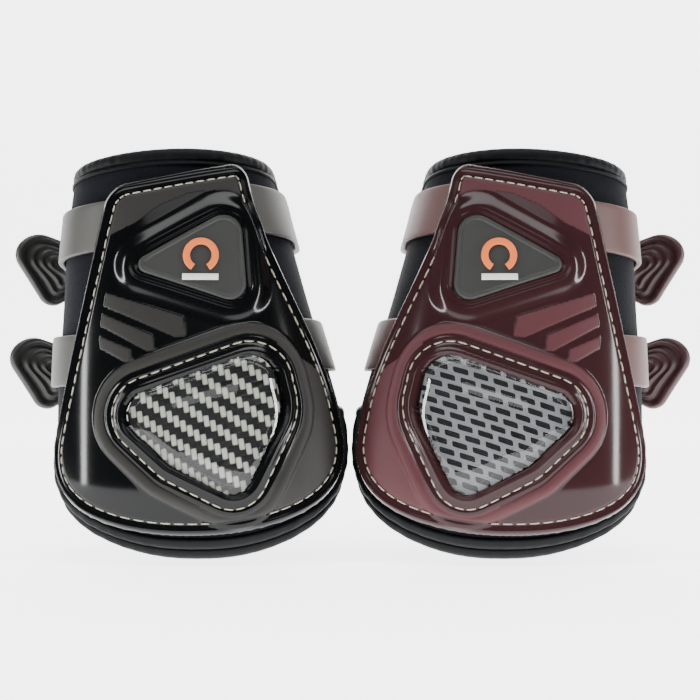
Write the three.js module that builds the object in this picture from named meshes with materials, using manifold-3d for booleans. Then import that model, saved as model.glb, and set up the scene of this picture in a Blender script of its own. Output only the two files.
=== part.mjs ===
// A pair of hind fetlock boots for a horse. Millimetres, +Z up the leg.
// Each boot's moulded shell faces -Y, its straps close across the flat back at +Y,
// and its pull tabs point outwards. The second boot is the mirror image of the first.
import * as THREE from 'three';
import { mergeVertices } from 'three/addons/utils/BufferGeometryUtils.js';
import Module from 'manifold-3d';

const wasm = await Module();
wasm.setup();

// ---- Overall sizes of one boot ----
const BOOT_HEIGHT = 155;         // lowest hem to the highest point of the collar
const LEG_WIDTH = 100;           // inside width at the fetlock
const LEG_DEPTH = 83;            // inside depth at the fetlock
const PAIR_GAP = 1.9;            // between the two boots, side by side
const FLARE_HEIGHT = 0.3 * BOOT_HEIGHT;   // the boot narrows above this height
const WIDTH_TAPER = 0.18;        // half width lost per millimetre of height
const DEPTH_TAPER = 0.12;        // half depth lost per millimetre of height
const LEAN = 0.17;               // outward lean of the centre line, per millimetre of height
const LEAN_END = 0.87 * BOOT_HEIGHT;      // the centre line turns upright near this height
const LEAN_START = 0.26 * BOOT_HEIGHT;    // and is upright again below this one
const LEAN_SHIFT = 10;
const LEAN_SOFTNESS = 50;
const LEAN_FOOT = 20;
const FLARE_EASE = 1.6;           // makes up for the rounding of the flare
const TUCK_HEIGHT = 0.2 * BOOT_HEIGHT;
const DEPTH_START = 0.23 * BOOT_HEIGHT;   // the depth starts to taper near this height
const FLARE_SOFTNESS = 20;       // how gently each taper starts
const DEPTH_SOFTNESS = 30;
const DEPTH_EASE = 1;            // makes up for the rounding of the depth's taper
const TOE_TUCK = 5;              // how far the lowest part of the front tucks in
const FRONT_ROUNDNESS = 2.4;     // superellipse exponents of the front and of the back
const BACK_ROUNDNESS = 5;

// ---- Walls, as distances outside the leg form ----
const CLEARANCE = 0.3;           // gap between pieces that touch
const EDGE_GAP = 1;              // between a liner and the binding on its edge
const INNER_LINER = 2.9;
const OUTER_LINER = 2.8;
const BAND = 2.3;                // stud bands, and the anchors where they pass under the shell
const BAND_GAP = 0.8;            // the flat facets of a band cut the corners of the liner
const STRAP = 2.6;
const SHELL = 3;
const SLIDE_GAP = 0.4;           // between a band and what lies over it
const BINDING_OVERHANG = 0.8;    // the bindings stand out from the liners by this much
const innerLinerFace = INNER_LINER;
const outerLinerBack = innerLinerFace + CLEARANCE;
const outerLinerFace = outerLinerBack + OUTER_LINER;
const bandBack = outerLinerFace + BAND_GAP;
const bandFace = bandBack + BAND;
const shellBack = bandFace + SLIDE_GAP;
const shellFace = shellBack + SHELL;
const strapBack = bandFace + SLIDE_GAP;
const strapFace = strapBack + STRAP;
const strapAxis = (strapBack + strapFace) / 2;

// ---- Edges ----
const WALL_COLUMNS = 28;
const SIDE_HEM = 0.3 * BOOT_HEIGHT;       // hem height at the sides and the back
const COLLAR_SWING = 7;                   // the collar is highest at the front
const COLLAR_PEAK = 15;                   // degrees towards the inner side
const TOP_BINDING = 4.8;
const HEM_BINDING = 3;
const SHELL_TOE = 10;                     // shell rim above the lowest hem
const SHELL_TOP_OUTER = 0.9 * BOOT_HEIGHT;
const SHELL_TOP_INNER = 0.965 * BOOT_HEIGHT;
const SHELL_CORNER = 7.4;                 // radius of its upper corners
const SHELL_CORNER_SHARE = 0.25;          // of the half width, taken by that radius
const OUTER_EDGE_ANGLE = -56;              // degrees, where the flare starts
const OUTER_EDGE_TURN = 0.29;             // degrees per millimetre of height
const INNER_EDGE_ANGLE = 63;              // degrees at the foot of the inner edge
const INNER_EDGE_TURN = 20;               // degrees less at its top
const SHELL_BOTTOM_ROUNDNESS = 2.2;
const HEM_ROUNDNESS = 2.5;

// ---- Straps, studs and tabs ----
const HINGE_LEVEL = 0.93 * BOOT_HEIGHT;   // the straps' upright hinge line is placed at this height,
const HINGE_SHARE = 0.62;                 // this share of the half width from the middle
const STUD_SHARE = 0.7;                   // and the studs this share, on the other side
const STRAP_HEIGHT = 19.5;
const NECK_HEIGHT = 14;
const HINGE_GAP = 0.7;           // lets the strap swing past the end of its anchor
const STUD_HOLE = 3.8;           // radii
const STUD_PASS = 0.6;           // the head is this much smaller than the hole
const STUD_HEAD = STUD_HOLE - STUD_PASS;
const STUD_STEM = 2.2;
const STUD_BOSS = 4;
const BAND_END = 5.5;            // stud axis to the end of its band
const SPARE_HOLE = 2.2;
const TAB_REACH = 31;
const TAB_CURL = 45;             // radius of the tab's bend
const TAB_LIP = 2.1;
const TAB_RIDGE = 0.8;
const FLAP_GAP = 1.8;            // at the flap's free edge, which swings past the liner

// Heights of the straps: where each leaves the shell on the inner side, at the hinge,
// and the height of the stud band where it leaves the shell on the outer side.
const STRAPS = {
  upper: { inner: 0.855 * BOOT_HEIGHT, hinge: 0.816 * BOOT_HEIGHT, slope: 0.22, band: 0.809 * BOOT_HEIGHT },
  lower: { inner: 0.52 * BOOT_HEIGHT, hinge: 0.497 * BOOT_HEIGHT, slope: 0.13, band: 0.478 * BOOT_HEIGHT },
};

// Rounded outlines on the front, each the hull of circles: [across as a share of the half
// width of the leg, height as a share of the boot, radius].
const LENS_CORNERS = [
  [-0.277, 0.35, 9], [0.48, 0.422, 11], [0.386, 0.368, 16.5], [0.302, 0.21, 8], [-0.011, 0.29, 11.6],
];
const BADGE_CORNERS = [[-0.168, 0.7065, 3.3], [0.415, 0.783, 7], [0.43, 0.659, 5.9]];
const LENS_BEZEL = 8.5;            // raised collar round the lens
const BADGE_BEZEL = 7;
const LENS_DOME = 3.4;
const LENS_RIM = 0.6;            // the lens's edge stands this far out of the shell
const BEZEL_RISE = 1.2;
const BADGE_SEAT = 0.4;          // the badge's pocket floor lies this far out of the shell's face
const BADGE = 1.7;
const BADGE_RIM = 0.4;           // the badge stands this far out of its boss
const INLAY = 0.6;
const CARBON = 0.7;
const RAISED_ROOT = 1.5;         // raised parts start this far inside the shell
const PAST_SHELL = 12;           // cutters end this far outside it
const EMBLEM_RADIUS = 6.6;
const EMBLEM_WIDTH = 2.6;
const EMBLEM_RISE = 1.5;         // above the middle of the badge
const EMBLEM_BAR = 2.4;

const COLOURS = {
  left: { shell: 0x141617, strap: 0x66655e, tab: 0x3b3b38, carbon: 0x8c8a80 },
  right: { shell: 0x4a2b30, strap: 0x7f6260, tab: 0x5b3f41, carbon: 0x9a9a9c },
};
const NEOPRENE = 0x22263a;
const BINDING = 0x1c2125;
const RUBBER = 0x3d3e3c;
const ORANGE = 0xf47a35;
const WHITE = 0xe8e8e6;
const STEEL = 0x2a2b2c;

const degrees = THREE.MathUtils.degToRad;
const mix = THREE.MathUtils.lerp;

// ---- The leg form ----

// Zero well below the corner, a straight ramp well above it.
function ramp(distance, softness) {
  return (distance + Math.hypot(distance, softness)) / 2;
}

// Centre and half sizes of the boot's section at a height, a distance outside the leg.
function section(z, offset) {
  const tuck = TOE_TUCK * Math.max(0, 1 - z / TUCK_HEIGHT) ** 2;
  const taper = DEPTH_TAPER * ramp(z - DEPTH_START, DEPTH_SOFTNESS);
  const depth = LEG_DEPTH / 2 + DEPTH_EASE - taper - tuck;
  const flare = WIDTH_TAPER * ramp(z - FLARE_HEIGHT, FLARE_SOFTNESS);
  const lean = ramp(LEAN_END - z, LEAN_SOFTNESS) - ramp(LEAN_START - z, LEAN_FOOT);
  return {
    x: LEAN * lean - LEAN_SHIFT,
    y: -depth,
    halfWidth: LEG_WIDTH / 2 + FLARE_EASE - flare + offset,
    halfDepth: depth + offset,
  };
}

// Point of the surface at an angle from the front (-Y), positive towards the inner side.
function around(angle, z, offset) {
  const s = section(z, offset);
  const power = Math.cos(angle) > 0 ? FRONT_ROUNDNESS : BACK_ROUNDNESS;
  const sideways = Math.abs(Math.sin(angle) / s.halfWidth) ** power;
  const lengthways = Math.abs(Math.cos(angle) / s.halfDepth) ** power;
  const radius = (sideways + lengthways) ** (-1 / power);
  return new THREE.Vector3(s.x + radius * Math.sin(angle), s.y - radius * Math.cos(angle), z);
}

// Depth of the front surface at a place seen from the front.
function frontY(x, z, offset) {
  const s = section(z, offset);
  const share = Math.min(0.999, Math.abs((x - s.x) / s.halfWidth));
  return s.y - s.halfDepth * (1 - share ** FRONT_ROUNDNESS) ** (1 / FRONT_ROUNDNESS);
}

// Angle at which the back surface passes a sideways position.
function backAngle(x, z, offset) {
  const s = section(z, offset);
  const share = Math.min(0.999, Math.abs((x - s.x) / s.halfWidth));
  const y = s.halfDepth * (1 - share ** BACK_ROUNDNESS) ** (1 / BACK_ROUNDNESS);
  return Math.atan2(x - s.x, -y);
}

// ---- Places worked out from the form ----
const hingeForm = section(HINGE_LEVEL, 0);
const hingeX = hingeForm.x + HINGE_SHARE * hingeForm.halfWidth;
for (const strap of Object.values(STRAPS)) {
  const form = section(strap.hinge, bandFace);
  strap.studX = form.x - STUD_SHARE * form.halfWidth;
  strap.studZ = strap.hinge + strap.slope * (strap.studX - hingeX);
  strap.neckX = form.x - form.halfWidth + BAND;
  strap.neckZ = strap.hinge + strap.slope * (strap.neckX - hingeX);
}
const bandEndX = Math.max(STRAPS.upper.studX, STRAPS.lower.studX) + BAND_END;
const seamX = bandEndX + 1;
const innerSeam = hingeX + CLEARANCE;
const outerSeam = seamX;
const flapHingeEdge = hingeX - CLEARANCE;
const flapFreeEdge = seamX + FLAP_GAP;

function hemHeight(angle) {
  const share = Math.min(1, Math.abs(angle) / degrees(90));
  return SIDE_HEM * share ** HEM_ROUNDNESS;
}

function collarHeight(angle) {
  return BOOT_HEIGHT + COLLAR_SWING * (Math.cos(angle - degrees(COLLAR_PEAK)) - 1);
}

function shellOuterEdge(z) {
  return degrees(OUTER_EDGE_ANGLE + OUTER_EDGE_TURN * (z - FLARE_HEIGHT));
}

function shellInnerEdge(z) {
  const share = THREE.MathUtils.smoothstep(z, 0.36 * BOOT_HEIGHT, 0.955 * BOOT_HEIGHT);
  return degrees(INNER_EDGE_ANGLE - INNER_EDGE_TURN * share);
}

// ---- Mesh building ----

function toSolid(geometry) {
  const bare = geometry.clone();
  bare.deleteAttribute('normal');
  bare.deleteAttribute('uv');
  const merged = mergeVertices(bare, 1e-4);
  return new wasm.Manifold(new wasm.Mesh({
    numProp: 3,
    vertProperties: new Float32Array(merged.attributes.position.array),
    triVerts: new Uint32Array(merged.index.array),
  }));
}

function toGeometry(solid) {
  const mesh = solid.getMesh();
  const geometry = new THREE.BufferGeometry();
  geometry.setAttribute('position', new THREE.BufferAttribute(new Float32Array(mesh.vertProperties), 3));
  geometry.setIndex(new THREE.BufferAttribute(new Uint32Array(mesh.triVerts), 1));
  geometry.computeVertexNormals();
  return geometry;
}

function fromLists(points, triangles) {
  const geometry = new THREE.BufferGeometry();
  geometry.setFromPoints(points);
  geometry.setIndex(triangles);
  geometry.computeVertexNormals();
  return geometry;
}

// Closed wall on a lattice. place(u, v, face) gives its points: u runs round the boot with
// the angle, v up it, and face is 0 towards the leg and 1 outside.
function wall(columns, rows, place) {
  const points = [];
  const triangles = [];
  for (const face of [0, 1]) {
    for (let i = 0; i <= columns; i++) {
      for (let j = 0; j <= rows; j++) points.push(place(i / columns, j / rows, face));
    }
  }
  const faceSize = (columns + 1) * (rows + 1);
  const at = (i, j, face) => face * faceSize + i * (rows + 1) + j;
  const quad = (a, b, c, d) => triangles.push(a, b, c, a, c, d);
  for (let i = 0; i < columns; i++) {
    for (let j = 0; j < rows; j++) {
      quad(at(i, j, 1), at(i + 1, j, 1), at(i + 1, j + 1, 1), at(i, j + 1, 1));
      quad(at(i, j, 0), at(i, j + 1, 0), at(i + 1, j + 1, 0), at(i + 1, j, 0));
    }
    quad(at(i, 0, 0), at(i + 1, 0, 0), at(i + 1, 0, 1), at(i, 0, 1));
    quad(at(i, rows, 1), at(i + 1, rows, 1), at(i + 1, rows, 0), at(i, rows, 0));
  }
  for (let j = 0; j < rows; j++) {
    quad(at(0, j, 0), at(0, j, 1), at(0, j + 1, 1), at(0, j + 1, 0));
    quad(at(columns, j, 1), at(columns, j, 0), at(columns, j + 1, 0), at(columns, j + 1, 1));
  }
  return fromLists(points, triangles);
}

// Outline of the hull of circles given in millimetres, evenly spaced, anticlockwise.
function hullOutline(circles, count) {
  const corners = [];
  const steps = 72;
  for (let i = 0; i < steps; i++) {
    const angle = (2 * Math.PI * i) / steps;
    const reach = ([x, z, r]) => x * Math.cos(angle) + z * Math.sin(angle) + r;
    const [x, z, r] = circles.reduce((best, c) => (reach(c) > reach(best) ? c : best));
    corners.push(new THREE.Vector2(x + r * Math.cos(angle), z + r * Math.sin(angle)));
  }
  corners.push(corners[0].clone());
  return new THREE.Shape(corners).getSpacedPoints(count).slice(0, count);
}

// The circles of a front outline in millimetres, grown by a margin.
function circlesOf(corners, margin) {
  return corners.map(([across, up, radius]) => {
    const z = up * BOOT_HEIGHT;
    return [section(z, 0).x + across * LEG_WIDTH / 2, z, radius + margin];
  });
}

// Closed panel that follows the front of the boot inside an outline. Its back lies at one
// offset; face(r) gives the offset of its face, r from 0 at the middle to 1 at the rim.
function panel(outline, rings, back, face) {
  const count = outline.length;
  const centre = outline.reduce((sum, p) => sum.add(p), new THREE.Vector2()).divideScalar(count);
  const points = [];
  const triangles = [];
  const place = (p, offset) => points.push(new THREE.Vector3(p.x, frontY(p.x, p.y, offset), p.y));
  for (const side of [0, 1]) {
    place(centre, side ? face(0) : back);
    for (const r of rings) {
      for (const rim of outline) place(centre.clone().lerp(rim, r), side ? face(r) : back);
    }
  }
  const sideSize = 1 + rings.length * count;
  const at = (ring, k, side) => side * sideSize + 1 + ring * count + (k % count);
  for (let k = 0; k < count; k++) {
    triangles.push(sideSize, at(0, k, 1), at(0, k + 1, 1), 0, at(0, k + 1, 0), at(0, k, 0));
    for (let ring = 0; ring < rings.length - 1; ring++) {
      triangles.push(at(ring, k, 1), at(ring + 1, k, 1), at(ring + 1, k + 1, 1));
      triangles.push(at(ring, k, 1), at(ring + 1, k + 1, 1), at(ring, k + 1, 1));
      triangles.push(at(ring, k, 0), at(ring + 1, k + 1, 0), at(ring + 1, k, 0));
      triangles.push(at(ring, k, 0), at(ring, k + 1, 0), at(ring + 1, k + 1, 0));
    }
    const rim = rings.length - 1;
    triangles.push(at(rim, k, 1), at(rim, k, 0), at(rim, k + 1, 0));
    triangles.push(at(rim, k, 1), at(rim, k + 1, 0), at(rim, k + 1, 1));
  }
  return fromLists(points, triangles);
}

// Prism of a front-view shape, from yFront back to yBack.
function prism(shape, yFront, yBack) {
  const geometry = new THREE.ExtrudeGeometry(shape, {
    depth: yBack - yFront, bevelEnabled: false, curveSegments: 8,
  });
  geometry.rotateX(Math.PI / 2);
  geometry.translate(0, yBack, 0);
  return geometry;
}

// ---- Liners and bindings ----

// Angle round the fixed wall, from the flap's free edge round the outer side, the front and
// the inner side to the hinge.
function wallAngle(u, z, offset) {
  return mix(backAngle(outerSeam, z, offset), backAngle(innerSeam, z, offset), u);
}

function hemAt(u) {
  return hemHeight(wallAngle(u, SIDE_HEM, 0));
}

function collarAt(u) {
  return collarHeight(wallAngle(u, BOOT_HEIGHT, 0));
}

// A liner's fixed wall; low and high are insets from the hem and the collar.
function linerWall(rows, low, high, back, face) {
  return wall(WALL_COLUMNS, rows, (u, v, side) => {
    const offset = side ? face : back;
    const z = mix(hemAt(u) + low, collarAt(u) - high, v);
    return around(wallAngle(u, z, offset), z, offset);
  });
}

function bindingRing(atTop) {
  const height = atTop ? TOP_BINDING : HEM_BINDING;
  return wall(WALL_COLUMNS, 2, (u, v, side) => {
    const bulge = BINDING_OVERHANG * Math.sin(Math.PI * v);
    const offset = side ? outerLinerFace + bulge : -bulge / 2;
    const z = (atTop ? collarAt(u) - height : hemAt(u)) + v * height;
    return around(wallAngle(u, z, offset), z, offset);
  });
}

const flapBottom = SIDE_HEM;
const flapTop = collarHeight(Math.PI);

// A piece of the flap: inset from its bottom, top and free edge.
function flapWall(columns, rows, low, high, free, back, face) {
  return wall(columns, rows, (u, v, side) => {
    const offset = side ? face : back;
    const z = mix(flapBottom + low, flapTop - high, v);
    const start = backAngle(flapHingeEdge, z, offset);
    const end = 2 * Math.PI + backAngle(flapFreeEdge + free, z, offset);
    return around(mix(start, end, u), z, offset);
  });
}

function flapBinding() {
  const face = outerLinerFace + BINDING_OVERHANG / 2;
  const whole = toSolid(flapWall(6, 2, 0, 0, 0, -BINDING_OVERHANG / 2, face));
  const inside = wall(6, 2, (u, v, side) => {
    const offset = side ? outerLinerFace + 4 : -4;
    const z = mix(flapBottom + HEM_BINDING, flapTop - TOP_BINDING, v);
    const start = backAngle(flapHingeEdge + 2, z, offset);
    const end = 2 * Math.PI + backAngle(flapFreeEdge + HEM_BINDING, z, offset);
    return around(mix(start, end, u), z, offset);
  });
  return toGeometry(whole.subtract(toSolid(inside)));
}

// ---- Shell and what it carries ----

function shellWall() {
  return wall(18, 9, (u, v, side) => {
    const offset = side ? shellFace : shellBack;
    const across = (1 - Math.cos(Math.PI * u)) / 2;
    const swing = Math.abs(2 * across - 1);
    const dip = (1 - swing ** SHELL_BOTTOM_ROUNDNESS) ** (1 / SHELL_BOTTOM_ROUNDNESS);
    const bottom = SIDE_HEM - (SIDE_HEM - SHELL_TOE) * dip;
    const line = mix(SHELL_TOP_OUTER, SHELL_TOP_INNER, across);
    const turn = Math.max(0, 1 - (1 - swing) / SHELL_CORNER_SHARE);
    const top = line - SHELL_CORNER * (1 - Math.sqrt(1 - turn ** 2));
    const z = mix(bottom, top, v);
    return around(mix(shellOuterEdge(z), shellInnerEdge(z), across), z, offset);
  });
}

const badgeFloor = shellFace + BADGE_SEAT;
const badgeBack = badgeFloor + CLEARANCE;
const badgeFace = badgeBack + BADGE;
const bossFace = badgeFace - BADGE_RIM;
const bezelFace = shellFace + BEZEL_RISE;
const carbonFace = shellBack + CARBON;
const lensBack = carbonFace + CLEARANCE;

function shell() {
  const raised = (top) => (r) => mix(top, shellFace - 1, THREE.MathUtils.smoothstep(r, 0.82, 1));
  const rings = [0.4, 0.82, 1];
  const boss = panel(hullOutline(circlesOf(BADGE_CORNERS, BADGE_BEZEL), 24), rings,
    shellFace - RAISED_ROOT, raised(bossFace));
  const bezel = panel(hullOutline(circlesOf(LENS_CORNERS, LENS_BEZEL), 28), rings,
    shellFace - RAISED_ROOT, raised(bezelFace));
  const lensOpening = panel(hullOutline(circlesOf(LENS_CORNERS, SLIDE_GAP), 28), [0.4, 0.75, 1],
    0, () => shellFace + PAST_SHELL);
  const pocket = panel(hullOutline(circlesOf(BADGE_CORNERS, SLIDE_GAP), 21), [0.5, 1],
    badgeFloor, () => shellFace + PAST_SHELL);
  let body = toSolid(shellWall());
  body = body.add(toSolid(boss)).add(toSolid(bezel));
  body = body.subtract(toSolid(lensOpening)).subtract(toSolid(pocket));
  return toGeometry(body);
}

function lens() {
  const face = (r) => shellFace + LENS_RIM + LENS_DOME * (1 - r ** 2.5);
  return panel(hullOutline(circlesOf(LENS_CORNERS, 0), 28), [0.4, 0.75, 1], lensBack, face);
}

function carbonPanel() {
  return panel(hullOutline(circlesOf(LENS_CORNERS, 0), 28), [0.4, 0.75, 1], shellBack, () => carbonFace);
}

function gelPad() {
  return panel(hullOutline(circlesOf(LENS_CORNERS, 4), 28), [0.4, 0.75, 1],
    bandBack + 0.4, () => bandFace - 0.5);
}

function badge() {
  return panel(hullOutline(circlesOf(BADGE_CORNERS, 0), 21), [0.5, 1], badgeBack, () => badgeFace);
}

// A slice just above the badge, which the emblem's shapes are cut from.
function emblemSlice() {
  return toSolid(panel(hullOutline(circlesOf(BADGE_CORNERS, -0.5), 21), [0.5, 1],
    badgeFace + CLEARANCE, () => badgeFace + CLEARANCE + INLAY));
}

const badgeCentre = hullOutline(circlesOf(BADGE_CORNERS, 0), 21)
  .reduce((sum, p) => sum.add(p), new THREE.Vector2()).divideScalar(21);

function emblem() {
  const shape = new THREE.Shape();
  const inner = EMBLEM_RADIUS - EMBLEM_WIDTH;
  shape.absarc(0, 0, EMBLEM_RADIUS, degrees(-60), degrees(240), false);
  shape.absarc(0, 0, inner, degrees(240), degrees(-60), true);
  const outline = shape.getPoints(16).map((p) => p.add(badgeCentre).add(new THREE.Vector2(0, EMBLEM_RISE)));
  const bar = prism(new THREE.Shape(outline), -LEG_DEPTH * 2, -LEG_DEPTH / 2);
  return toGeometry(toSolid(bar).intersect(emblemSlice()));
}

function stripe() {
  const low = badgeCentre.y + EMBLEM_RISE - EMBLEM_RADIUS - CLEARANCE;
  const half = EMBLEM_RADIUS;
  const shape = new THREE.Shape([
    new THREE.Vector2(badgeCentre.x - half, low - EMBLEM_BAR),
    new THREE.Vector2(badgeCentre.x + half, low - EMBLEM_BAR),
    new THREE.Vector2(badgeCentre.x + half, low),
    new THREE.Vector2(badgeCentre.x - half, low),
  ]);
  return toGeometry(toSolid(prism(shape, -LEG_DEPTH * 2, -LEG_DEPTH / 2)).intersect(emblemSlice()));
}

// ---- Closures ----

// Band from the stud, round the outer back corner and the side, to under the shell.
function studBand(strap) {
  const band = wall(14, 1, (u, v, side) => {
    const z = mix(strap.studZ, strap.band, u) + (v - 0.5) * STRAP_HEIGHT;
    const offset = side ? bandFace : bandBack;
    const start = backAngle(strap.studX + BAND_END, z, offset);
    return around(mix(start, shellOuterEdge(z) + degrees(5), u), z, offset);
  });
  const form = section(strap.studZ, bandFace);
  const share = (strap.studX - form.x) / form.halfWidth;
  const surface = form.y + form.halfDepth * (1 - Math.abs(share) ** BACK_ROUNDNESS) ** (1 / BACK_ROUNDNESS);
  const top = strapBack - CLEARANCE;
  const height = top - (surface - 1.2);
  const boss = new THREE.CylinderGeometry(STUD_BOSS, STUD_BOSS, height, 16);
  boss.translate(strap.studX, top - height / 2, strap.studZ);
  return toGeometry(toSolid(band).add(toSolid(boss)));
}

// Mushroom stud: a foot in the strap's hole, a stem and a head outside the strap.
function stud(strap) {
  const foot = strapBack;
  const profile = [
    [0, foot], [STUD_HEAD, foot], [STUD_HEAD, foot + 0.8], [STUD_STEM, foot + 1.1],
    [STUD_STEM, strapFace + CLEARANCE], [STUD_HEAD, strapFace + CLEARANCE + 0.4],
    [STUD_HEAD - 0.4, strapFace + 1.7], [0, strapFace + 2.1],
  ].map(([radius, y]) => new THREE.Vector2(radius, y));
  const geometry = new THREE.LatheGeometry(profile, 14);
  geometry.translate(strap.studX, 0, strap.studZ);
  return geometry;
}

// From under the shell's inner edge, round the inner back corner, to the strap's hinge.
function strapAnchor(strap) {
  return wall(9, 1, (u, v, side) => {
    const z = mix(strap.inner, strap.hinge, u) + (v - 0.5) * STRAP_HEIGHT;
    const lift = THREE.MathUtils.smoothstep(u, 0.62, 0.95) * (strapBack - bandBack);
    const thickness = mix(BAND, STRAP, u);
    const offset = bandBack + lift + side * thickness;
    const end = backAngle(hingeX + STRAP / 2 + HINGE_GAP, z, offset);
    return around(mix(shellInnerEdge(z) - degrees(6), end, u), z, offset);
  });
}

// Flat strap over the back, with its stud hole, and round at the hinge.
function strapBandOf(strap) {
  const line = (x) => strap.hinge + strap.slope * (x - hingeX);
  const end = strap.neckX + STRAP / 2 + CLEARANCE;
  const shoulder = end + 5;
  const half = STRAP_HEIGHT / 2;
  const shape = new THREE.Shape([
    new THREE.Vector2(hingeX, line(hingeX) - half),
    new THREE.Vector2(hingeX, line(hingeX) + half),
    new THREE.Vector2(shoulder, line(shoulder) + half),
    new THREE.Vector2(end + 1.5, line(end) + mix(NECK_HEIGHT / 2, half, 0.5)),
    new THREE.Vector2(end, line(end) + NECK_HEIGHT / 2),
    new THREE.Vector2(end, line(end) - NECK_HEIGHT / 2),
    new THREE.Vector2(end + 1.5, line(end) - mix(NECK_HEIGHT / 2, half, 0.5)),
    new THREE.Vector2(shoulder, line(shoulder) - half),
  ]);
  for (const [x, radius] of [[strap.studX, STUD_HOLE], [strap.studX + 2.7 * STUD_HOLE, STUD_HOLE]]) {
    const hole = new THREE.Path();
    hole.absarc(x, line(x), radius, 0, 2 * Math.PI, true);
    shape.holes.push(hole);
  }
  const plate = toSolid(prism(shape, strapBack, strapFace));
  const knuckle = new THREE.CylinderGeometry(STRAP / 2, STRAP / 2, STRAP_HEIGHT, 16);
  knuckle.rotateX(Math.PI / 2);
  knuckle.translate(hingeX, strapAxis, strap.hinge);
  return toGeometry(plate.add(toSolid(knuckle)));
}

// Curled finger tab: a bent section with ridges on its hollow face and a thick lip.
function pullTab(strap) {
  const sweep = TAB_REACH / TAB_CURL;
  const steps = 22;
  const profile = [];
  const bend = (angle, radius) => new THREE.Vector2(
    strap.neckX - radius * Math.sin(angle),
    strapAxis - TAB_CURL + radius * Math.cos(angle),
  );
  for (let i = 0; i <= 6; i++) profile.push(bend((sweep * i) / 6, TAB_CURL + STRAP / 2));
  const lip = bend(sweep, TAB_CURL);
  for (let i = 1; i < 8; i++) {
    const turn = Math.PI / 2 + sweep + (Math.PI * i) / 8;
    profile.push(new THREE.Vector2(lip.x + TAB_LIP * Math.cos(turn), lip.y + TAB_LIP * Math.sin(turn)));
  }
  for (let i = steps; i >= 0; i--) {
    const share = i / steps;
    const ridged = share > 0.3 && share < 0.9;
    const ridge = ridged ? TAB_RIDGE * Math.sin(5 * Math.PI * (share - 0.3)) ** 2 : 0;
    profile.push(bend(sweep * share, TAB_CURL - STRAP / 2 - ridge));
  }
  for (let i = 1; i < 6; i++) {
    const turn = -Math.PI / 2 + (Math.PI * i) / 6;
    profile.push(new THREE.Vector2(
      strap.neckX + (STRAP / 2) * Math.cos(turn), strapAxis + (STRAP / 2) * Math.sin(turn)));
  }
  const blank = new THREE.ExtrudeGeometry(new THREE.Shape(profile), {
    depth: 3 * STRAP_HEIGHT, bevelEnabled: false,
  });
  blank.translate(0, 0, strap.neckZ - 1.5 * STRAP_HEIGHT);
  const leaf = new THREE.Shape(hullOutline([
    [strap.neckX + 1, strap.neckZ, NECK_HEIGHT / 2],
    [strap.neckX - 0.65 * TAB_REACH, strap.neckZ + 5.5, 9],
    [strap.neckX - 0.48 * TAB_REACH, strap.neckZ - 10, 6],
  ], 28));
  const hole = new THREE.Path();
  hole.absarc(strap.neckX - 5.5, strap.neckZ - 1, SPARE_HOLE, 0, 2 * Math.PI, true);
  leaf.holes.push(hole);
  const cutter = prism(leaf, strapAxis - TAB_CURL, strapFace + 5);
  return toGeometry(toSolid(blank).intersect(toSolid(cutter)));
}

// ---- Assembly ----

function addPiece(boot, name, geometry, colour, roughness, metalness = 0) {
  const material = new THREE.MeshStandardMaterial({ color: colour, roughness, metalness });
  const mesh = new THREE.Mesh(geometry, material);
  mesh.name = name;
  boot.add(mesh);
}

function buildBoot(side) {
  const boot = new THREE.Group();
  const colours = COLOURS[side];
  const add = (name, ...rest) => addPiece(boot, `${side}_${name}`, ...rest);
  add('inner_liner', linerWall(4, HEM_BINDING + EDGE_GAP, TOP_BINDING + EDGE_GAP, 0, innerLinerFace),
    NEOPRENE, 0.9);
  add('outer_liner',
    linerWall(4, HEM_BINDING + EDGE_GAP, TOP_BINDING + EDGE_GAP, outerLinerBack, outerLinerFace),
    NEOPRENE, 0.9);
  add('top_binding', bindingRing(true), BINDING, 0.6);
  add('bottom_binding', bindingRing(false), BINDING, 0.6);
  add('closing_flap_inner', flapWall(5, 3, HEM_BINDING + EDGE_GAP, TOP_BINDING + EDGE_GAP,
    HEM_BINDING + EDGE_GAP, 0, innerLinerFace), NEOPRENE, 0.9);
  add('closing_flap_outer', flapWall(5, 3, HEM_BINDING + EDGE_GAP, TOP_BINDING + EDGE_GAP,
    HEM_BINDING + EDGE_GAP, outerLinerBack, outerLinerFace), NEOPRENE, 0.9);
  add('flap_binding', flapBinding(), BINDING, 0.6);
  add('shell', shell(), colours.shell, 0.2);
  add('gel_pad', gelPad(), 0x55585c, 0.7);
  add('carbon_panel', carbonPanel(), colours.carbon, 0.4);
  add('lens', lens(), 0xbfc4c8, 0.05);
  add('badge', badge(), RUBBER, 0.8);
  add('badge_emblem', emblem(), ORANGE, 0.6);
  add('badge_stripe', stripe(), WHITE, 0.6);
  for (const [level, strap] of Object.entries(STRAPS)) {
    add(`${level}_stud_band`, studBand(strap), colours.strap, 0.7);
    add(`${level}_stud`, stud(strap), STEEL, 0.4, 0.2);
    add(`${level}_strap_anchor`, strapAnchor(strap), colours.strap, 0.7);
    add(`${level}_strap`, strapBandOf(strap), colours.strap, 0.7);
    add(`${level}_pull_tab`, pullTab(strap), colours.tab, 0.7);
  }
  return boot;
}

const pair = new THREE.Group();
const leftBoot = buildBoot('left');
const apart = new THREE.Box3().setFromObject(leftBoot).max.x + PAIR_GAP / 2;
leftBoot.position.x = -apart;
const rightBoot = buildBoot('right');
rightBoot.scale.x = -1;
rightBoot.position.x = apart;
pair.add(leftBoot, rightBoot);
pair.updateMatrixWorld(true);
const bounds = new THREE.Box3().setFromObject(pair);
pair.position.set(0, -(bounds.min.y + bounds.max.y) / 2, -bounds.min.z);

export default pair;
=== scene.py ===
"""Looks for a pair of hind fetlock boots: moulded shells, clear lenses, liners, straps and studio.

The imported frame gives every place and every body. Lengths in this file are millimetres in
one boot's own space: x across, y to the back, z up the leg. to_world() turns them into metres.
"""

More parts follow.
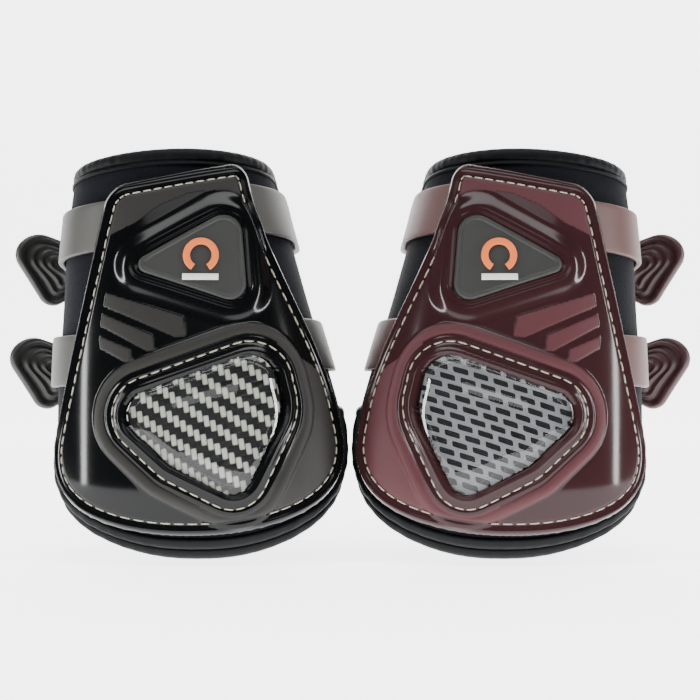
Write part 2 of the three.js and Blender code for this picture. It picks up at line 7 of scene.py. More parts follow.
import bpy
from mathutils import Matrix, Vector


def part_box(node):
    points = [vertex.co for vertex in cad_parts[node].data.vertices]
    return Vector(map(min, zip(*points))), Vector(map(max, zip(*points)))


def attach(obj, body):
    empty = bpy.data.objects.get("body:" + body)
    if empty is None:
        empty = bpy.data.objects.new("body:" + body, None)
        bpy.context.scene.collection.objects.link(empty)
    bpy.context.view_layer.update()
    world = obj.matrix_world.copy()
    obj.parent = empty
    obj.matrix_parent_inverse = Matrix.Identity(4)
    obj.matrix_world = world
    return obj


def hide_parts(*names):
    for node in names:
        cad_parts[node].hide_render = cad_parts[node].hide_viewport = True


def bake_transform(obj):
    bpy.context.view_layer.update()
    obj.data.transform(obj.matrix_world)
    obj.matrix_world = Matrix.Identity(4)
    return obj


bl_info = {
    "name": "Hind Fetlock Boots",
    "version": (1, 0, 0),
    "blender": (4, 5, 0),
    "location": "3D View > Sidebar > Boots",
    "description": "Builds the visible pieces of a pair of hind fetlock boots",
    "category": "Add Mesh",
}

import functools
import math

import bmesh
import bpy
import numpy as np
from bpy.props import FloatProperty, FloatVectorProperty, PointerProperty
from mathutils import Vector

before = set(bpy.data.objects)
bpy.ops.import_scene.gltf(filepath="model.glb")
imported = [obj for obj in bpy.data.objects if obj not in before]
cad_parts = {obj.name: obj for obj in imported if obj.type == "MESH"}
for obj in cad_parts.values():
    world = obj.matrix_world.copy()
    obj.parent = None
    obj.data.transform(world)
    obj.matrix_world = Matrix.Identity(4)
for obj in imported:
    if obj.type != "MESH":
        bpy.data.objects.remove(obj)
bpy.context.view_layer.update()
MM = 0.001
SIDES = ("left", "right")
LEVELS = ("upper", "lower")

# ---- The form of one boot, as the frame has it ----
BOOT_HEIGHT = 155
LEG_WIDTH = 100
LEG_DEPTH = 83
SIDE_HEM = 0.3 * BOOT_HEIGHT
WIDTH_TAPER = 0.18
DEPTH_TAPER = 0.12
LEAN = 0.17
LEAN_END = 0.87 * BOOT_HEIGHT
LEAN_START = 0.26 * BOOT_HEIGHT
LEAN_SHIFT = 10
LEAN_SOFTNESS = 50
LEAN_FOOT = 20
FLARE_SOFTNESS = 20
FLARE_EASE = 1.6
TUCK_HEIGHT = 0.2 * BOOT_HEIGHT
DEPTH_START = 0.23 * BOOT_HEIGHT
DEPTH_SOFTNESS = 30
DEPTH_EASE = 1
TOE_TUCK = 5
FRONT_ROUNDNESS = 2.4
BACK_ROUNDNESS = 5
COLLAR_SWING = 7
COLLAR_PEAK = math.radians(15)
SHELL_TOE = 10
SHELL_CORNER = 7.4
SHELL_CORNER_SHARE = 0.25
SHELL_BOTTOM_ROUNDNESS = 2.2
HEM_ROUNDNESS = 2.5
SHELL_TOP_OUTER = 0.9 * BOOT_HEIGHT
SHELL_TOP_INNER = 0.965 * BOOT_HEIGHT
OUTER_EDGE_ANGLE = -56
OUTER_EDGE_TURN = 0.29
INNER_EDGE_ANGLE = 63
INNER_EDGE_TURN = 20
INNER_EDGE_SPAN = (0.36 * BOOT_HEIGHT, 0.955 * BOOT_HEIGHT)
HINGE_LEVEL = 0.93 * BOOT_HEIGHT
HINGE_SHARE = 0.62

# Layers, as distances outside the leg
INNER_LINER = 2.9
OUTER_LINER = 2.8
LINER_FACE = 6.0
BAND = 2.3
BAND_BACK = 6.8
SHELL_BACK = 9.5
SHELL_FACE = 12.5
CARBON_FACE = 10.2
STRAP = 2.6
STRAP_BACK = 9.5
STRAP_AXIS = 10.8
BADGE_BACK = 13.2
BADGE_FACE = 14.9

TOP_BINDING = 4.8
HEM_BINDING = 3.0
STRAP_HEIGHT = 19.5
TAB_REACH = 31
TAB_CURL = 45
TAB_HOLE = 2.2
NECK_HEIGHT = 14
TAB_EDGE = 1.4
TAB_HOLE_SPOT = (5.5, -1.0)
BAND_END = 5.5
STRAP_SLOPES = {"upper": 0.22, "lower": 0.13}
ANCHOR_LEVELS = {"upper": 0.855 * BOOT_HEIGHT, "lower": 0.52 * BOOT_HEIGHT}
BAND_LEVELS = {"upper": 0.809 * BOOT_HEIGHT, "lower": 0.478 * BOOT_HEIGHT}

# Surface detail of the shell and the badge
RIM_ROUNDING = 1.2
STITCH_INSET = 4.6
STITCH_WIDTH = 0.55
STITCH_HEIGHT = 0.34
EMBLEM_WIDTH = 2.6
EMBLEM_BAR = 2.4
LENS_DOME = 3.51

# Rounded outlines on the front: share of the leg's half width, share of the height, radius.
LENS_CORNERS = [
    (-0.277, 0.35, 9.0), (0.48, 0.422, 11.0), (0.386, 0.368, 16.5), (0.302, 0.21, 8.0), (-0.011, 0.29, 11.6),
]
BADGE_CORNERS = [(-0.168, 0.7065, 3.3), (0.415, 0.783, 7.0), (0.43, 0.659, 5.9)]

# Matte stripes and fields of the shell, as corners (x, z) in millimetres
STRIPES = [
    [(-27.0, 98.8), (2.0, 89.9), (3.6, 82.8), (-0.8, 82.5), (-27.6, 93.9)],
    [(-28.3, 91.1), (-9.1, 83.1), (-7.9, 77.4), (-11.2, 77.4), (-28.5, 86.5)],
    [(-29.0, 82.8), (-17.2, 78.0), (-16.2, 73.5), (-19.3, 73.3), (-28.3, 78.2)],
]
UPPER_FIELD = [
    (-45, 116), (-27, 120.5), (-17, 125.4), (-7.6, 132.4), (3.7, 137.2), (13, 138), (22.4, 135.3),
    (27, 130), (38, 130), (38, 155), (-45, 155),
]
INNER_FIELD = [
    (20, 78), (37, 80.4), (48.9, 72.2), (57.1, 64), (80, 56), (80, 20), (40, 13), (23, 15), (9, 18), (9, 30),
]


def ramp(distance, softness):
    """Zero well below the corner, a straight ramp well above it."""
    return (distance + np.hypot(distance, softness)) / 2


def fade(value, start, end):
    """Smooth step from 0 at start to 1 at end, in either direction."""
    share = np.clip((value - start) / (end - start), 0, 1)
    return share * share * (3 - 2 * share)


def bump(value, middle, width):
    """Smooth ridge of height 1."""
    return np.exp(-(((value - middle) / width) ** 2))


def mix(a, b, share):
    return a + (b - a) * share


def section(z, offset):
    """Centre and half sizes of the boot's section at a height, a distance outside the leg."""
    tuck = TOE_TUCK * np.maximum(0, 1 - z / TUCK_HEIGHT) ** 2
    depth = LEG_DEPTH / 2 + DEPTH_EASE - DEPTH_TAPER * ramp(z - DEPTH_START, DEPTH_SOFTNESS) - tuck
    half_width = LEG_WIDTH / 2 + FLARE_EASE - WIDTH_TAPER * ramp(z - SIDE_HEM, FLARE_SOFTNESS) + offset
    lean = LEAN * (ramp(LEAN_END - z, LEAN_SOFTNESS) - ramp(LEAN_START - z, LEAN_FOOT)) - LEAN_SHIFT
    return lean, -depth, half_width, depth + offset


def around(angle, z, offset):
    """Surface point at an angle from the front, positive towards the inner side."""
    angle, z, offset = np.broadcast_arrays(angle, z, offset)
    x, y, half_width, half_depth = section(z, offset)
    power = np.where(np.cos(angle) > 0, FRONT_ROUNDNESS, BACK_ROUNDNESS)
    sideways = np.abs(np.sin(angle) / half_width) ** power
    lengthways = np.abs(np.cos(angle) / half_depth) ** power
    radius = (sideways + lengthways) ** (-1 / power)
    return np.stack([x + radius * np.sin(angle), y - radius * np.cos(angle), z], -1)


def on_front(x, z, offset):
    """Point of the front surface at a place seen from the front."""
    x, z, offset = np.broadcast_arrays(x, z, offset)
    middle, y, half_width, half_depth = section(z, offset)
    share = np.minimum(0.999, np.abs((x - middle) / half_width))
    depth = half_depth * (1 - share**FRONT_ROUNDNESS) ** (1 / FRONT_ROUNDNESS)
    return np.stack([x + 0.0 * z, y - depth, z + 0.0 * x], -1)


def back_angle(x, z, offset):
    """Angle at which the back surface passes a sideways position."""
    middle, _, half_width, half_depth = section(z, offset)
    share = np.minimum(0.999, np.abs((x - middle) / half_width))
    y = half_depth * (1 - share**BACK_ROUNDNESS) ** (1 / BACK_ROUNDNESS)
    return np.arctan2(x - middle, -y)


def hem_height(angle):
    share = np.minimum(1, np.abs(angle) / math.radians(90))
    return SIDE_HEM * share**HEM_ROUNDNESS


def collar_height(angle):
    return BOOT_HEIGHT + COLLAR_SWING * (np.cos(angle - COLLAR_PEAK) - 1)


def shell_outer_edge(z):
    return np.radians(OUTER_EDGE_ANGLE + OUTER_EDGE_TURN * (z - SIDE_HEM))


def shell_inner_edge(z):
    return np.radians(INNER_EDGE_ANGLE - INNER_EDGE_TURN * fade(z, *INNER_EDGE_SPAN))


# ---- Places taken from the frame ----
_strap_low, _strap_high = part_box("left_lower_strap")
_top_x, _, _top_half, _ = section(HINGE_LEVEL, 0)
HINGE_X = _top_x + HINGE_SHARE * _top_half
APART = HINGE_X + STRAP / 2 - _strap_high[0] / MM
DEPTH_SHIFT = _strap_low[1] / MM - STRAP_BACK


def local_box(node):
    """A node of the left boot's box in the boot's own millimetres."""
    low, high = (np.array(corner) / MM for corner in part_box(node))
    shift = np.array([APART, -DEPTH_SHIFT, 0])
    return low + shift, high + shift


@functools.cache
def strap_places(level):
    """Where a strap's stud, neck and ends are."""
    stud_low, stud_high = local_box(f"left_{level}_stud")
    _, tab_high = local_box(f"left_{level}_pull_tab")
    _, strap_high = local_box(f"left_{level}_strap")
    hinge_z = strap_high[2] - STRAP_HEIGHT / 2
    neck_x = tab_high[0] - STRAP / 2
    return {
        "stud_x": (stud_low[0] + stud_high[0]) / 2,
        "stud_z": (stud_low[2] + stud_high[2]) / 2,
        "hinge_z": hinge_z,
        "neck_x": neck_x,
        "neck_z": hinge_z + STRAP_SLOPES[level] * (neck_x - HINGE_X),
    }


SEAM_X = max(strap_places(level)["stud_x"] for level in LEVELS) + BAND_END + 1
FLAP_FREE_X = SEAM_X + 1.8


# ---- Mesh building ----


def to_world(points, side):
    """Turns a boot's own millimetres into metres in the frame."""
    world = np.array(points, dtype=float)
    world[..., 0] -= APART
    world[..., 1] += DEPTH_SHIFT
    if side == "right":
        world[..., 0] *= -1
    return world * MM


def lattice_faces(columns, rows, wrap_columns=False, wrap_rows=False):
    """Quads of a lattice of points, facing out where columns run with the angle and rows up."""
    i = np.arange(columns if wrap_columns else columns - 1)[:, None]
    j = np.arange(rows if wrap_rows else rows - 1)[None, :]
    right, up = (i + 1) % columns, (j + 1) % rows
    corners = [i * rows + j, right * rows + j, right * rows + up, i * rows + up]
    return np.stack([np.broadcast_to(c, (i.size, j.size)) for c in corners], -1).reshape(-1, 4).tolist()


def new_piece(name, side, points, faces, material, body, replaces=(), finish=None, fill=None):
    """Makes one visible piece of a boot, puts it on its body and gives it its material."""
    world = to_world(np.asarray(points).reshape(-1, 3), side)
    if side == "right":
        faces = [list(reversed(face)) for face in faces]
    mesh = bpy.data.meshes.new(f"{side}_{name}")
    mesh.from_pydata(world.tolist(), [], faces)
    mesh.validate()
    mesh.materials.append(material)
    piece = bpy.data.objects.new(f"{side}_{name}", mesh)
    bpy.context.scene.collection.objects.link(piece)
    mesh.polygons.foreach_set("use_smooth", [True] * len(mesh.polygons))
    if isinstance(body, tuple):
        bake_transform(piece)
    else:
        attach(piece, f"{side}_{body}")
    if replaces:
        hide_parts(*[f"{side}_{node}" for node in replaces])
    if finish:
        finish.format(side=side)
    return piece


def rounded_section(thickness, radius, long_steps, round_steps=4):
    """Loop round a strip's section: share of its height, rise past the ends and depth."""
    loop = [(k / long_steps, 0, thickness) for k in range(long_steps + 1)]
    turns = [math.pi / 2 * k / round_steps for k in range(1, round_steps + 1)]
    loop += [(1, radius * math.sin(a), thickness - radius + radius * math.cos(a)) for a in turns]
    loop += [(1, radius * math.cos(a), radius - radius * math.sin(a)) for a in turns]
    loop += [(1 - k / long_steps, 0, 0) for k in range(1, long_steps + 1)]
    loop += [(0, -radius * math.sin(a), radius - radius * math.cos(a)) for a in turns]
    loop += [(0, -radius * math.cos(a), thickness - radius + radius * math.sin(a)) for a in turns[:-1]]
    return np.array(loop).T, radius


def strip(columns, loop, span, back, place):
    """Points of a strip: its section swept along u, each column between the heights of span(u)."""
    (share, rise, depth), radius = loop
    u = np.linspace(0, 1, columns)[:, None]
    low, high = span(u)
    z = low + radius + share * (high - low - 2 * radius) + rise
    return place(u, z, back + depth)


def strip_faces(points):
    """Faces of a swept strip with both ends capped."""
    columns, rows = points.shape[:2]
    faces = lattice_faces(columns, rows, wrap_rows=True)
    first = list(range(rows))
    last = [(columns - 1) * rows + j for j in reversed(range(rows))]
    return faces + [first, last]


def hull_outline(circles, count):
    """Evenly spaced points on the hull of circles (x, z, r), anticlockwise from the front."""
    angles = np.linspace(0, 2 * math.pi, 720, endpoint=False)
    x, z, r = (np.array(values)[:, None] for values in zip(*circles))
    reach = x * np.cos(angles) + z * np.sin(angles) + r
    best = reach.argmax(0)
    points = np.stack([
        x[best, 0] + r[best, 0] * np.cos(angles),
        z[best, 0] + r[best, 0] * np.sin(angles),
    ], -1)
    return resample(points, count)


def resample(points, count):
    """Evenly spaced points along a closed line."""
    closed = np.vstack([points, points[:1]])
    lengths = np.concatenate([[0], np.cumsum(np.linalg.norm(np.diff(closed, axis=0), axis=1))])
    wanted = np.linspace(0, lengths[-1], count, endpoint=False)
    return np.stack([np.interp(wanted, lengths, closed[:, k]) for k in range(closed.shape[1])], -1)


def circles_of(corners, margin=0.0):
    """Circles of a front outline in millimetres, grown by a margin."""
    circles = []
    for across, up, radius in corners:
        z = up * BOOT_HEIGHT
        circles.append((float(section(z, 0)[0]) + across * LEG_WIDTH / 2, z, radius + margin))
    return circles


def inside(x, z, outline):
    """Which places lie inside a closed outline seen from the front."""
    result = np.zeros(x.shape, bool)
    for (ax, az), (bx, bz) in zip(outline, np.roll(outline, -1, axis=0)):
        crosses = (az > z) != (bz > z)
        result ^= crosses & (x < ax + (z - az) / (bz - az if bz != az else 1) * (bx - ax))
    return result


def distance_to(points, line):
    """Least distance of each point from the points of a line."""
    places = points.reshape(-1, 3)
    nearest = [
        np.linalg.norm(chunk[:, None] - line[None], axis=2).min(1)
        for chunk in np.array_split(places, max(1, len(places) // 3000))
    ]
    return np.concatenate(nearest).reshape(points.shape[:-1])


def signed_distance(points, outline, offset):
    """Distance from a front outline laid on the surface, negative inside it."""
    line = on_front(outline[:, 0], outline[:, 1], offset)
    distance = distance_to(points, line)
    return np.where(inside(points[..., 0], points[..., 2], outline), -distance, distance)


def disc_panel(outline, rings, offset):
    """Points of a panel on the front: ring by ring, at the offset that offset(r, x, z) gives."""
    centre = outline.mean(0)
    r = np.linspace(0.001, 1, rings)[None, :]
    x = centre[0] + (outline[:, 0, None] - centre[0]) * r
    z = centre[1] + (outline[:, 1, None] - centre[1]) * r
    return on_front(x, z, offset(r + 0 * x, x, z))


def capsule_run(line, normals, length, gap, width, height):
    """Stitches along a closed line: points and faces of a row of rounded capsules."""
    total = np.linalg.norm(np.roll(line, -1, 0) - line, axis=1).sum()
    count = int(total // (length + gap))
    step = len(line) / count
    along = np.linspace(-1, 1, 9)
    turns = np.linspace(0, 2 * math.pi, 8, endpoint=False)
    points, faces = [], []
    for k in range(count):
        at = int(k * step)
        start, end = line[at], line[int(at + step * length / (length + gap)) % len(line)]
        normal = normals[at] / np.linalg.norm(normals[at])
        direction = end - start
        side_way = np.cross(direction, normal)
        side_way /= np.linalg.norm(side_way)
        fat = (1 - np.abs(along) ** 4) ** 0.5
        body = (start + end) / 2 + along[:, None, None] * direction / 2
        ring = (np.cos(turns)[None, :, None] * side_way * width / 2
                + np.sin(turns)[None, :, None] * normal * height)
        capsule = body + ring * np.maximum(fat, 0.05)[:, None, None]
        base = len(points) * along.size * turns.size
        quads = lattice_faces(along.size, turns.size, wrap_rows=True)
        faces += [[base + corner for corner in quad] for quad in quads]
        points.append(capsule.reshape(-1, 3))
    return np.concatenate(points), faces


# ---- Shader building ----


class Shader:
    """Small helper round a node tree: nodes by type, links by call."""

    def __init__(self, tree):
        self.tree = tree

    def node(self, kind, **inputs):
        made = self.tree.nodes.new(kind)
        for key, value in inputs.items():
            name = key.replace("_", " ")
            if hasattr(made, key) and name not in made.inputs:
                setattr(made, key, value)
            else:
                self.set(made.inputs[name], value)
        return made

    def set(self, socket, value):
        if isinstance(value, bpy.types.NodeSocket):
            self.tree.links.new(value, socket)
        else:
            socket.default_value = value

    def math(self, operation, first, second=0.0, third=0.0, clamp=False):
        made = self.tree.nodes.new("ShaderNodeMath")
        made.operation = operation
        made.use_clamp = clamp
        for socket, value in zip(made.inputs, (first, second, third)):
            self.set(socket, value)
        return made.outputs[0]

    def blend(self, share, first, second):
        made = self.tree.nodes.new("ShaderNodeMix")
        made.data_type = "RGBA"
        for socket, value in zip((made.inputs[0], made.inputs[6], made.inputs[7]), (share, first, second)):
            self.set(socket, value)
        return made.outputs[2]

    def noise(self, vector, scale, detail=3.0):
        return self.node("ShaderNodeTexNoise", Vector=vector, Scale=scale, Detail=detail).outputs["Fac"]

    def group(self, tree, **inputs):
        made = self.tree.nodes.new("ShaderNodeGroup")
        made.node_tree = tree
        for key, value in inputs.items():
            self.set(made.inputs[key.replace("_", " ")], value)
        return made.outputs


def colour(code):
    """Linear colour of a display colour, opaque."""
    channels = [((code >> shift) & 255) / 255 for shift in (16, 8, 0)]
    linear = [c / 12.92 if c <= 0.04045 else ((c + 0.055) / 1.055) ** 2.4 for c in channels]
    return (*linear, 1.0)


def new_group(name, inputs, outputs):
    """Empty shader group with its sockets, and its input and output nodes."""
    tree = bpy.data.node_groups.new(name, "ShaderNodeTree")
    for label, kind, default in inputs:
        socket = tree.interface.new_socket(label, in_out="INPUT", socket_type=kind)
        if default is not None:
            socket.default_value = default
    for label, kind in outputs:
        tree.interface.new_socket(label, in_out="OUTPUT", socket_type=kind)
    shader = Shader(tree)
    return shader, tree.nodes.new("NodeGroupInput"), tree.nodes.new("NodeGroupOutput")


FLOAT, VECTOR = "NodeSocketFloat", "NodeSocketVector"


@functools.cache
def grain_group():
    """Fine moulded grain: a height and a slow tone change."""
    shader, given, made = new_group(
        "Moulded Grain",
        [("Vector", VECTOR, None), ("Grain Size", FLOAT, 0.5), ("Patch Size", FLOAT, 12.0)],
        [("Height", FLOAT), ("Tone", FLOAT)],
    )
    fine = shader.math("DIVIDE", 1000.0, given.outputs["Grain Size"])
    broad = shader.math("DIVIDE", 1000.0, given.outputs["Patch Size"])
    shader.set(made.inputs["Height"], shader.noise(given.outputs["Vector"], fine, 4.0))
    shader.set(made.inputs["Tone"], shader.noise(given.outputs["Vector"], broad, 2.0))
    return shader.tree


@functools.cache
def knit_group():
    """Knit face of neoprene: small loops with a mottled tone."""
    shader, given, made = new_group(
        "Knit Face",
        [("Vector", VECTOR, None), ("Loop Size", FLOAT, 0.8)],
        [("Height", FLOAT), ("Tone", FLOAT)],
    )
    scale = shader.math("DIVIDE", 1000.0, given.outputs["Loop Size"])
    loops = shader.node("ShaderNodeTexVoronoi", Vector=given.outputs["Vector"], Scale=scale)
    round_loop = shader.math("SUBTRACT", 1.0, loops.outputs["Distance"])
    fuzz = shader.noise(given.outputs["Vector"], shader.math("MULTIPLY", scale, 2.3), 3.0)
    shader.set(made.inputs["Height"], shader.math("ADD", round_loop, shader.math("MULTIPLY", fuzz, 0.6)))
    mottle = shader.noise(given.outputs["Vector"], shader.math("MULTIPLY", scale, 0.45), 4.0)
    shader.set(made.inputs["Tone"], mottle)
    return shader.tree


def turned_cells(shader, vector, size_across, size_up, tilt):
    """Cell numbers and places in the cells of a tilted grid on the front, in both ways."""
    turned = shader.node("ShaderNodeVectorRotate", rotation_type="Y_AXIS", Vector=vector, Angle=tilt)
    split = shader.node("ShaderNodeSeparateXYZ", Vector=turned.outputs[0])
    across = shader.math("DIVIDE", split.outputs["X"], shader.math("MULTIPLY", size_across, MM))
    up = shader.math("DIVIDE", split.outputs["Z"], shader.math("MULTIPLY", size_up, MM))
    return across, up


@functools.cache
def twill_group():
    """Two-by-two twill of flat tows: which tow is on top, the gap round each tile, the height."""
    shader, given, made = new_group(
        "Twill Weave",
        [("Vector", VECTOR, None), ("Tow Width", FLOAT, 2.2), ("Tilt", FLOAT, 0.15)],
        [("Bright Tow", FLOAT), ("Tile", FLOAT), ("Height", FLOAT)],
    )
    width = given.outputs["Tow Width"]
    across, up = turned_cells(shader, given.outputs["Vector"], width, width, given.outputs["Tilt"])
    column, row = shader.math("FLOOR", across), shader.math("FLOOR", up)
    along_warp = shader.math("FLOORED_MODULO", shader.math("ADD", up, column), 4.0)
    along_weft = shader.math("FLOORED_MODULO", shader.math("ADD", across, row), 4.0)
    bright = shader.math("LESS_THAN", along_warp, 2.0)

    def edge(place, sharpness):
        centred = shader.math("ABSOLUTE", shader.math("SUBTRACT", place, 0.5))
        return shader.math("POWER", shader.math("MULTIPLY", centred, 2.0), sharpness)

    warp_edge = shader.math("ADD", edge(shader.math("FRACT", across), 5.0),
                            edge(shader.math("MULTIPLY", along_warp, 0.5), 9.0))
    half_way = shader.math("MULTIPLY", shader.math("SUBTRACT", along_weft, 2.0), 0.5)
    weft_edge = shader.math("ADD", edge(shader.math("FRACT", up), 6.0), edge(half_way, 14.0))
    share = shader.math("MULTIPLY", warp_edge, bright)
    rest = shader.math("MULTIPLY", weft_edge, shader.math("SUBTRACT", 1.0, bright))
    tile = shader.math("SUBTRACT", 1.0, shader.math("ADD", share, rest), clamp=True)
    shader.set(made.inputs["Bright Tow"], bright)
    shader.set(made.inputs["Tile"], tile)
    shader.set(made.inputs["Height"], shader.math("ADD", tile, shader.math("MULTIPLY", bright, 0.4)))
    return shader.tree


@functools.cache
def dash_group():
    """Rows of dark dashes floated over a plain cloth."""
    shader, given, made = new_group(
        "Dashed Cloth",
        [("Vector", VECTOR, None), ("Repeat", FLOAT, 6.2), ("Row", FLOAT, 3.1), ("Tilt", FLOAT, -0.3)],
        [("Dash", FLOAT), ("Height", FLOAT)],
    )
    across, up = turned_cells(
        shader, given.outputs["Vector"], given.outputs["Repeat"], given.outputs["Row"], given.outputs["Tilt"])
    row = shader.math("FLOOR", up)
    shifted = shader.math("ADD", across, shader.math("MULTIPLY", row, 0.5))
    in_row = shader.math("SUBTRACT", shader.math("FRACT", up), 0.5)
    slanted = shader.math("ADD", shifted, shader.math("MULTIPLY", in_row, 0.18))
    along = shader.math("ABSOLUTE", shader.math("SUBTRACT", shader.math("FRACT", slanted), 0.5))
    long_edge = shader.math("POWER", shader.math("DIVIDE", along, 0.37), 8.0)
    wide_edge = shader.math("POWER", shader.math("DIVIDE", shader.math("ABSOLUTE", in_row), 0.3), 6.0)
    dash = shader.math("LESS_THAN", shader.math("ADD", long_edge, wide_edge), 1.0)
    shader.set(made.inputs["Dash"], dash)
    shader.set(made.inputs["Height"], shader.math("MULTIPLY", dash, 1.0))
    return shader.tree


def begin_material(name, **uniform):
    """New material with its Principled shader's uniform values, and its object coordinates."""
    material = bpy.data.materials.new(name)
    material.use_nodes = True
    shader = Shader(material.node_tree)
    principled = material.node_tree.nodes["Principled BSDF"]
    for key, value in uniform.items():
        principled.inputs[key.replace("_", " ")].default_value = value
    place = shader.node("ShaderNodeTexCoord").outputs["Object"]
    return material, shader, principled, place


def add_bump(shader, principled, height, distance, strength=1.0):
    made = shader.node("ShaderNodeBump", Height=height, Distance=distance * MM, Strength=strength)
    shader.set(principled.inputs["Normal"], made.outputs["Normal"])


@functools.cache
def moulded_rubber(name, code, roughness=0.55, grain=0.45, depth=0.05):
    """Matte moulded rubber with a fine grain and a slow change of tone."""
    material, shader, principled, place = begin_material(name)
    grain_out = shader.group(grain_group(), Vector=place, Grain_Size=grain, Patch_Size=14.0)
    base = colour(code)
    dark = tuple(c * 0.8 for c in base[:3]) + (1.0,)
    shader.set(principled.inputs["Base Color"], shader.blend(grain_out["Tone"], dark, base))
    rough = shader.math("ADD", roughness - 0.06, shader.math("MULTIPLY", grain_out["Tone"], 0.12))
    shader.set(principled.inputs["Roughness"], rough)
    add_bump(shader, principled, grain_out["Height"], depth)
    return material


@functools.cache
def shell_plastic(side):
    """Glossy moulded plastic with matte grained fields where the mesh's matte value is 1."""
    looks = bpy.context.scene.boot_looks
    material, shader, principled, place = begin_material(
        f"{side} shell plastic", Specular_IOR_Level=0.22)
    matte = shader.node("ShaderNodeAttribute", attribute_name="matte").outputs["Fac"]
    grain_out = shader.group(grain_group(), Vector=place, Grain_Size=0.35, Patch_Size=18.0)
    glossy = (*getattr(looks, f"{side}_gloss"), 1.0)
    dull = (*getattr(looks, f"{side}_matte"), 1.0)
    shader.set(principled.inputs["Base Color"], shader.blend(matte, glossy, dull))
    smear = shader.math("MULTIPLY", grain_out["Tone"], 0.06)
    rough = shader.math("ADD", shader.math("ADD", 0.1, smear), shader.math("MULTIPLY", matte, 0.38))
    shader.set(principled.inputs["Roughness"], rough)
    add_bump(shader, principled, shader.math("MULTIPLY", grain_out["Height"], matte), 0.06)
    return material


@functools.cache
def neoprene(side):
    """Navy knit over foam."""
    material, shader, principled, place = begin_material(
        f"{side} knit neoprene", Specular_IOR_Level=0.15)
    knit = shader.group(knit_group(), Vector=place, Loop_Size=0.7)
    base = colour(0x0B0E18 if side == "left" else 0x0E1118)
    dark = colour(0x040508)
    shader.set(principled.inputs["Base Color"], shader.blend(knit["Tone"], dark, base))
    principled.inputs["Roughness"].default_value = 0.85
    add_bump(shader, principled, knit["Height"], 0.12)
    return material


@functools.cache
def stretch_binding():
    """Smooth black stretch cloth: fine ribs and a soft sheen."""
    material, shader, principled, place = begin_material("stretch binding", Specular_IOR_Level=0.12)
    grain_out = shader.group(grain_group(), Vector=place, Grain_Size=0.3, Patch_Size=5.0)
    shader.set(principled.inputs["Base Color"],
               shader.blend(grain_out["Tone"], colour(0x050607), colour(0x0C0E11)))
    rough = shader.math("ADD", 0.42, shader.math("MULTIPLY", grain_out["Tone"], 0.2))
    shader.set(principled.inputs["Roughness"], rough)
    add_bump(shader, principled, grain_out["Height"], 0.06)
    return material


@functools.cache
def carbon_cloth(side):
    """The woven panel under the lens: a bold twill, or a silver cloth with dark dashes."""
    material, shader, principled, place = begin_material(f"{side} woven panel")
    fibre_place = shader.node("ShaderNodeMapping", Vector=place, Scale=(1.0, 1.0, 6.0)).outputs[0]
    fibre = shader.noise(fibre_place, 900.0, 2.0)
    if side == "left":
        weave = shader.group(twill_group(), Vector=place, Tow_Width=2.1, Tilt=0.2)
        silver = shader.blend(fibre, colour(0xB4B3A6), colour(0xFFFEF2))
        tows = shader.blend(weave["Bright Tow"], colour(0x131314), silver)
        base = shader.blend(weave["Tile"], colour(0x060606), tows)
        gloss = shader.math("SUBTRACT", 0.5, shader.math("MULTIPLY", weave["Bright Tow"], 0.15))
    else:
        weave = shader.group(dash_group(), Vector=place, Repeat=7.4, Row=3.2, Tilt=-0.3)
        silver = shader.blend(fibre, colour(0x77787C), colour(0xB5B6BA))
        base = shader.blend(weave["Dash"], silver, colour(0x0B0B0C))
        gloss = shader.math("ADD", 0.35, shader.math("MULTIPLY", weave["Dash"], 0.15))
    shader.set(principled.inputs["Base Color"], base)
    shader.set(principled.inputs["Roughness"], gloss)
    add_bump(shader, principled, weave["Height"], 0.15)
    return material


@functools.cache
def clear_lens():
    """Clear glossy window."""
    material, shader, principled, place = begin_material(
        "clear lens", Transmission_Weight=1.0, IOR=1.42, Base_Color=(0.97, 0.98, 0.98, 1.0))
    ripple = shader.noise(place, 60.0, 1.0)
    shader.set(principled.inputs["Roughness"], shader.math("MULTIPLY", ripple, 0.05))
    return material


@functools.cache
def stitch_thread():
    """Off-white twisted thread."""
    material, shader, principled, place = begin_material("stitch thread", Roughness=0.6)
    twist = shader.node("ShaderNodeTexWave", Vector=place, Scale=420.0, Distortion=1.0).outputs["Fac"]
    shader.set(principled.inputs["Base Color"], shader.blend(twist, colour(0x8C8678), colour(0xC9C2B0)))
    add_bump(shader, principled, twist, 0.1)
    return material


# ---- Pieces of the shell ----


@functools.cache
def shell_rim():
    """Dense line round the shell's edge, as (angle, z)."""
    swing = np.linspace(0, 1, 400)
    u = (1 - np.cos(math.pi * swing)) / 2
    low, high = shell_span(u)
    v = np.linspace(0, 1, 240)
    up_inner = mix(low[-1], high[-1], v)
    down_outer = mix(high[0], low[0], v)
    z = np.concatenate([low, up_inner[1:], high[::-1][1:], down_outer[1:-1]])
    share = np.concatenate([u, np.ones(239), u[::-1][1:], np.zeros(238)])
    angle = mix(shell_outer_edge(z), shell_inner_edge(z), share)
    return resample(np.stack([angle * 50, z], -1), 1200) / np.array([50, 1])


def shell_span(u):
    """Lowest and highest z of the shell at a share of its width."""
    swing = np.abs(2 * u - 1)
    dip = (1 - swing**SHELL_BOTTOM_ROUNDNESS) ** (1 / SHELL_BOTTOM_ROUNDNESS)
    low = SIDE_HEM - (SIDE_HEM - SHELL_TOE) * dip
    line = mix(SHELL_TOP_OUTER, SHELL_TOP_INNER, u)
    turn = np.maximum(0, 1 - (1 - swing) / SHELL_CORNER_SHARE)
    high = line - SHELL_CORNER * (1 - np.sqrt(1 - turn**2))
    return low, high


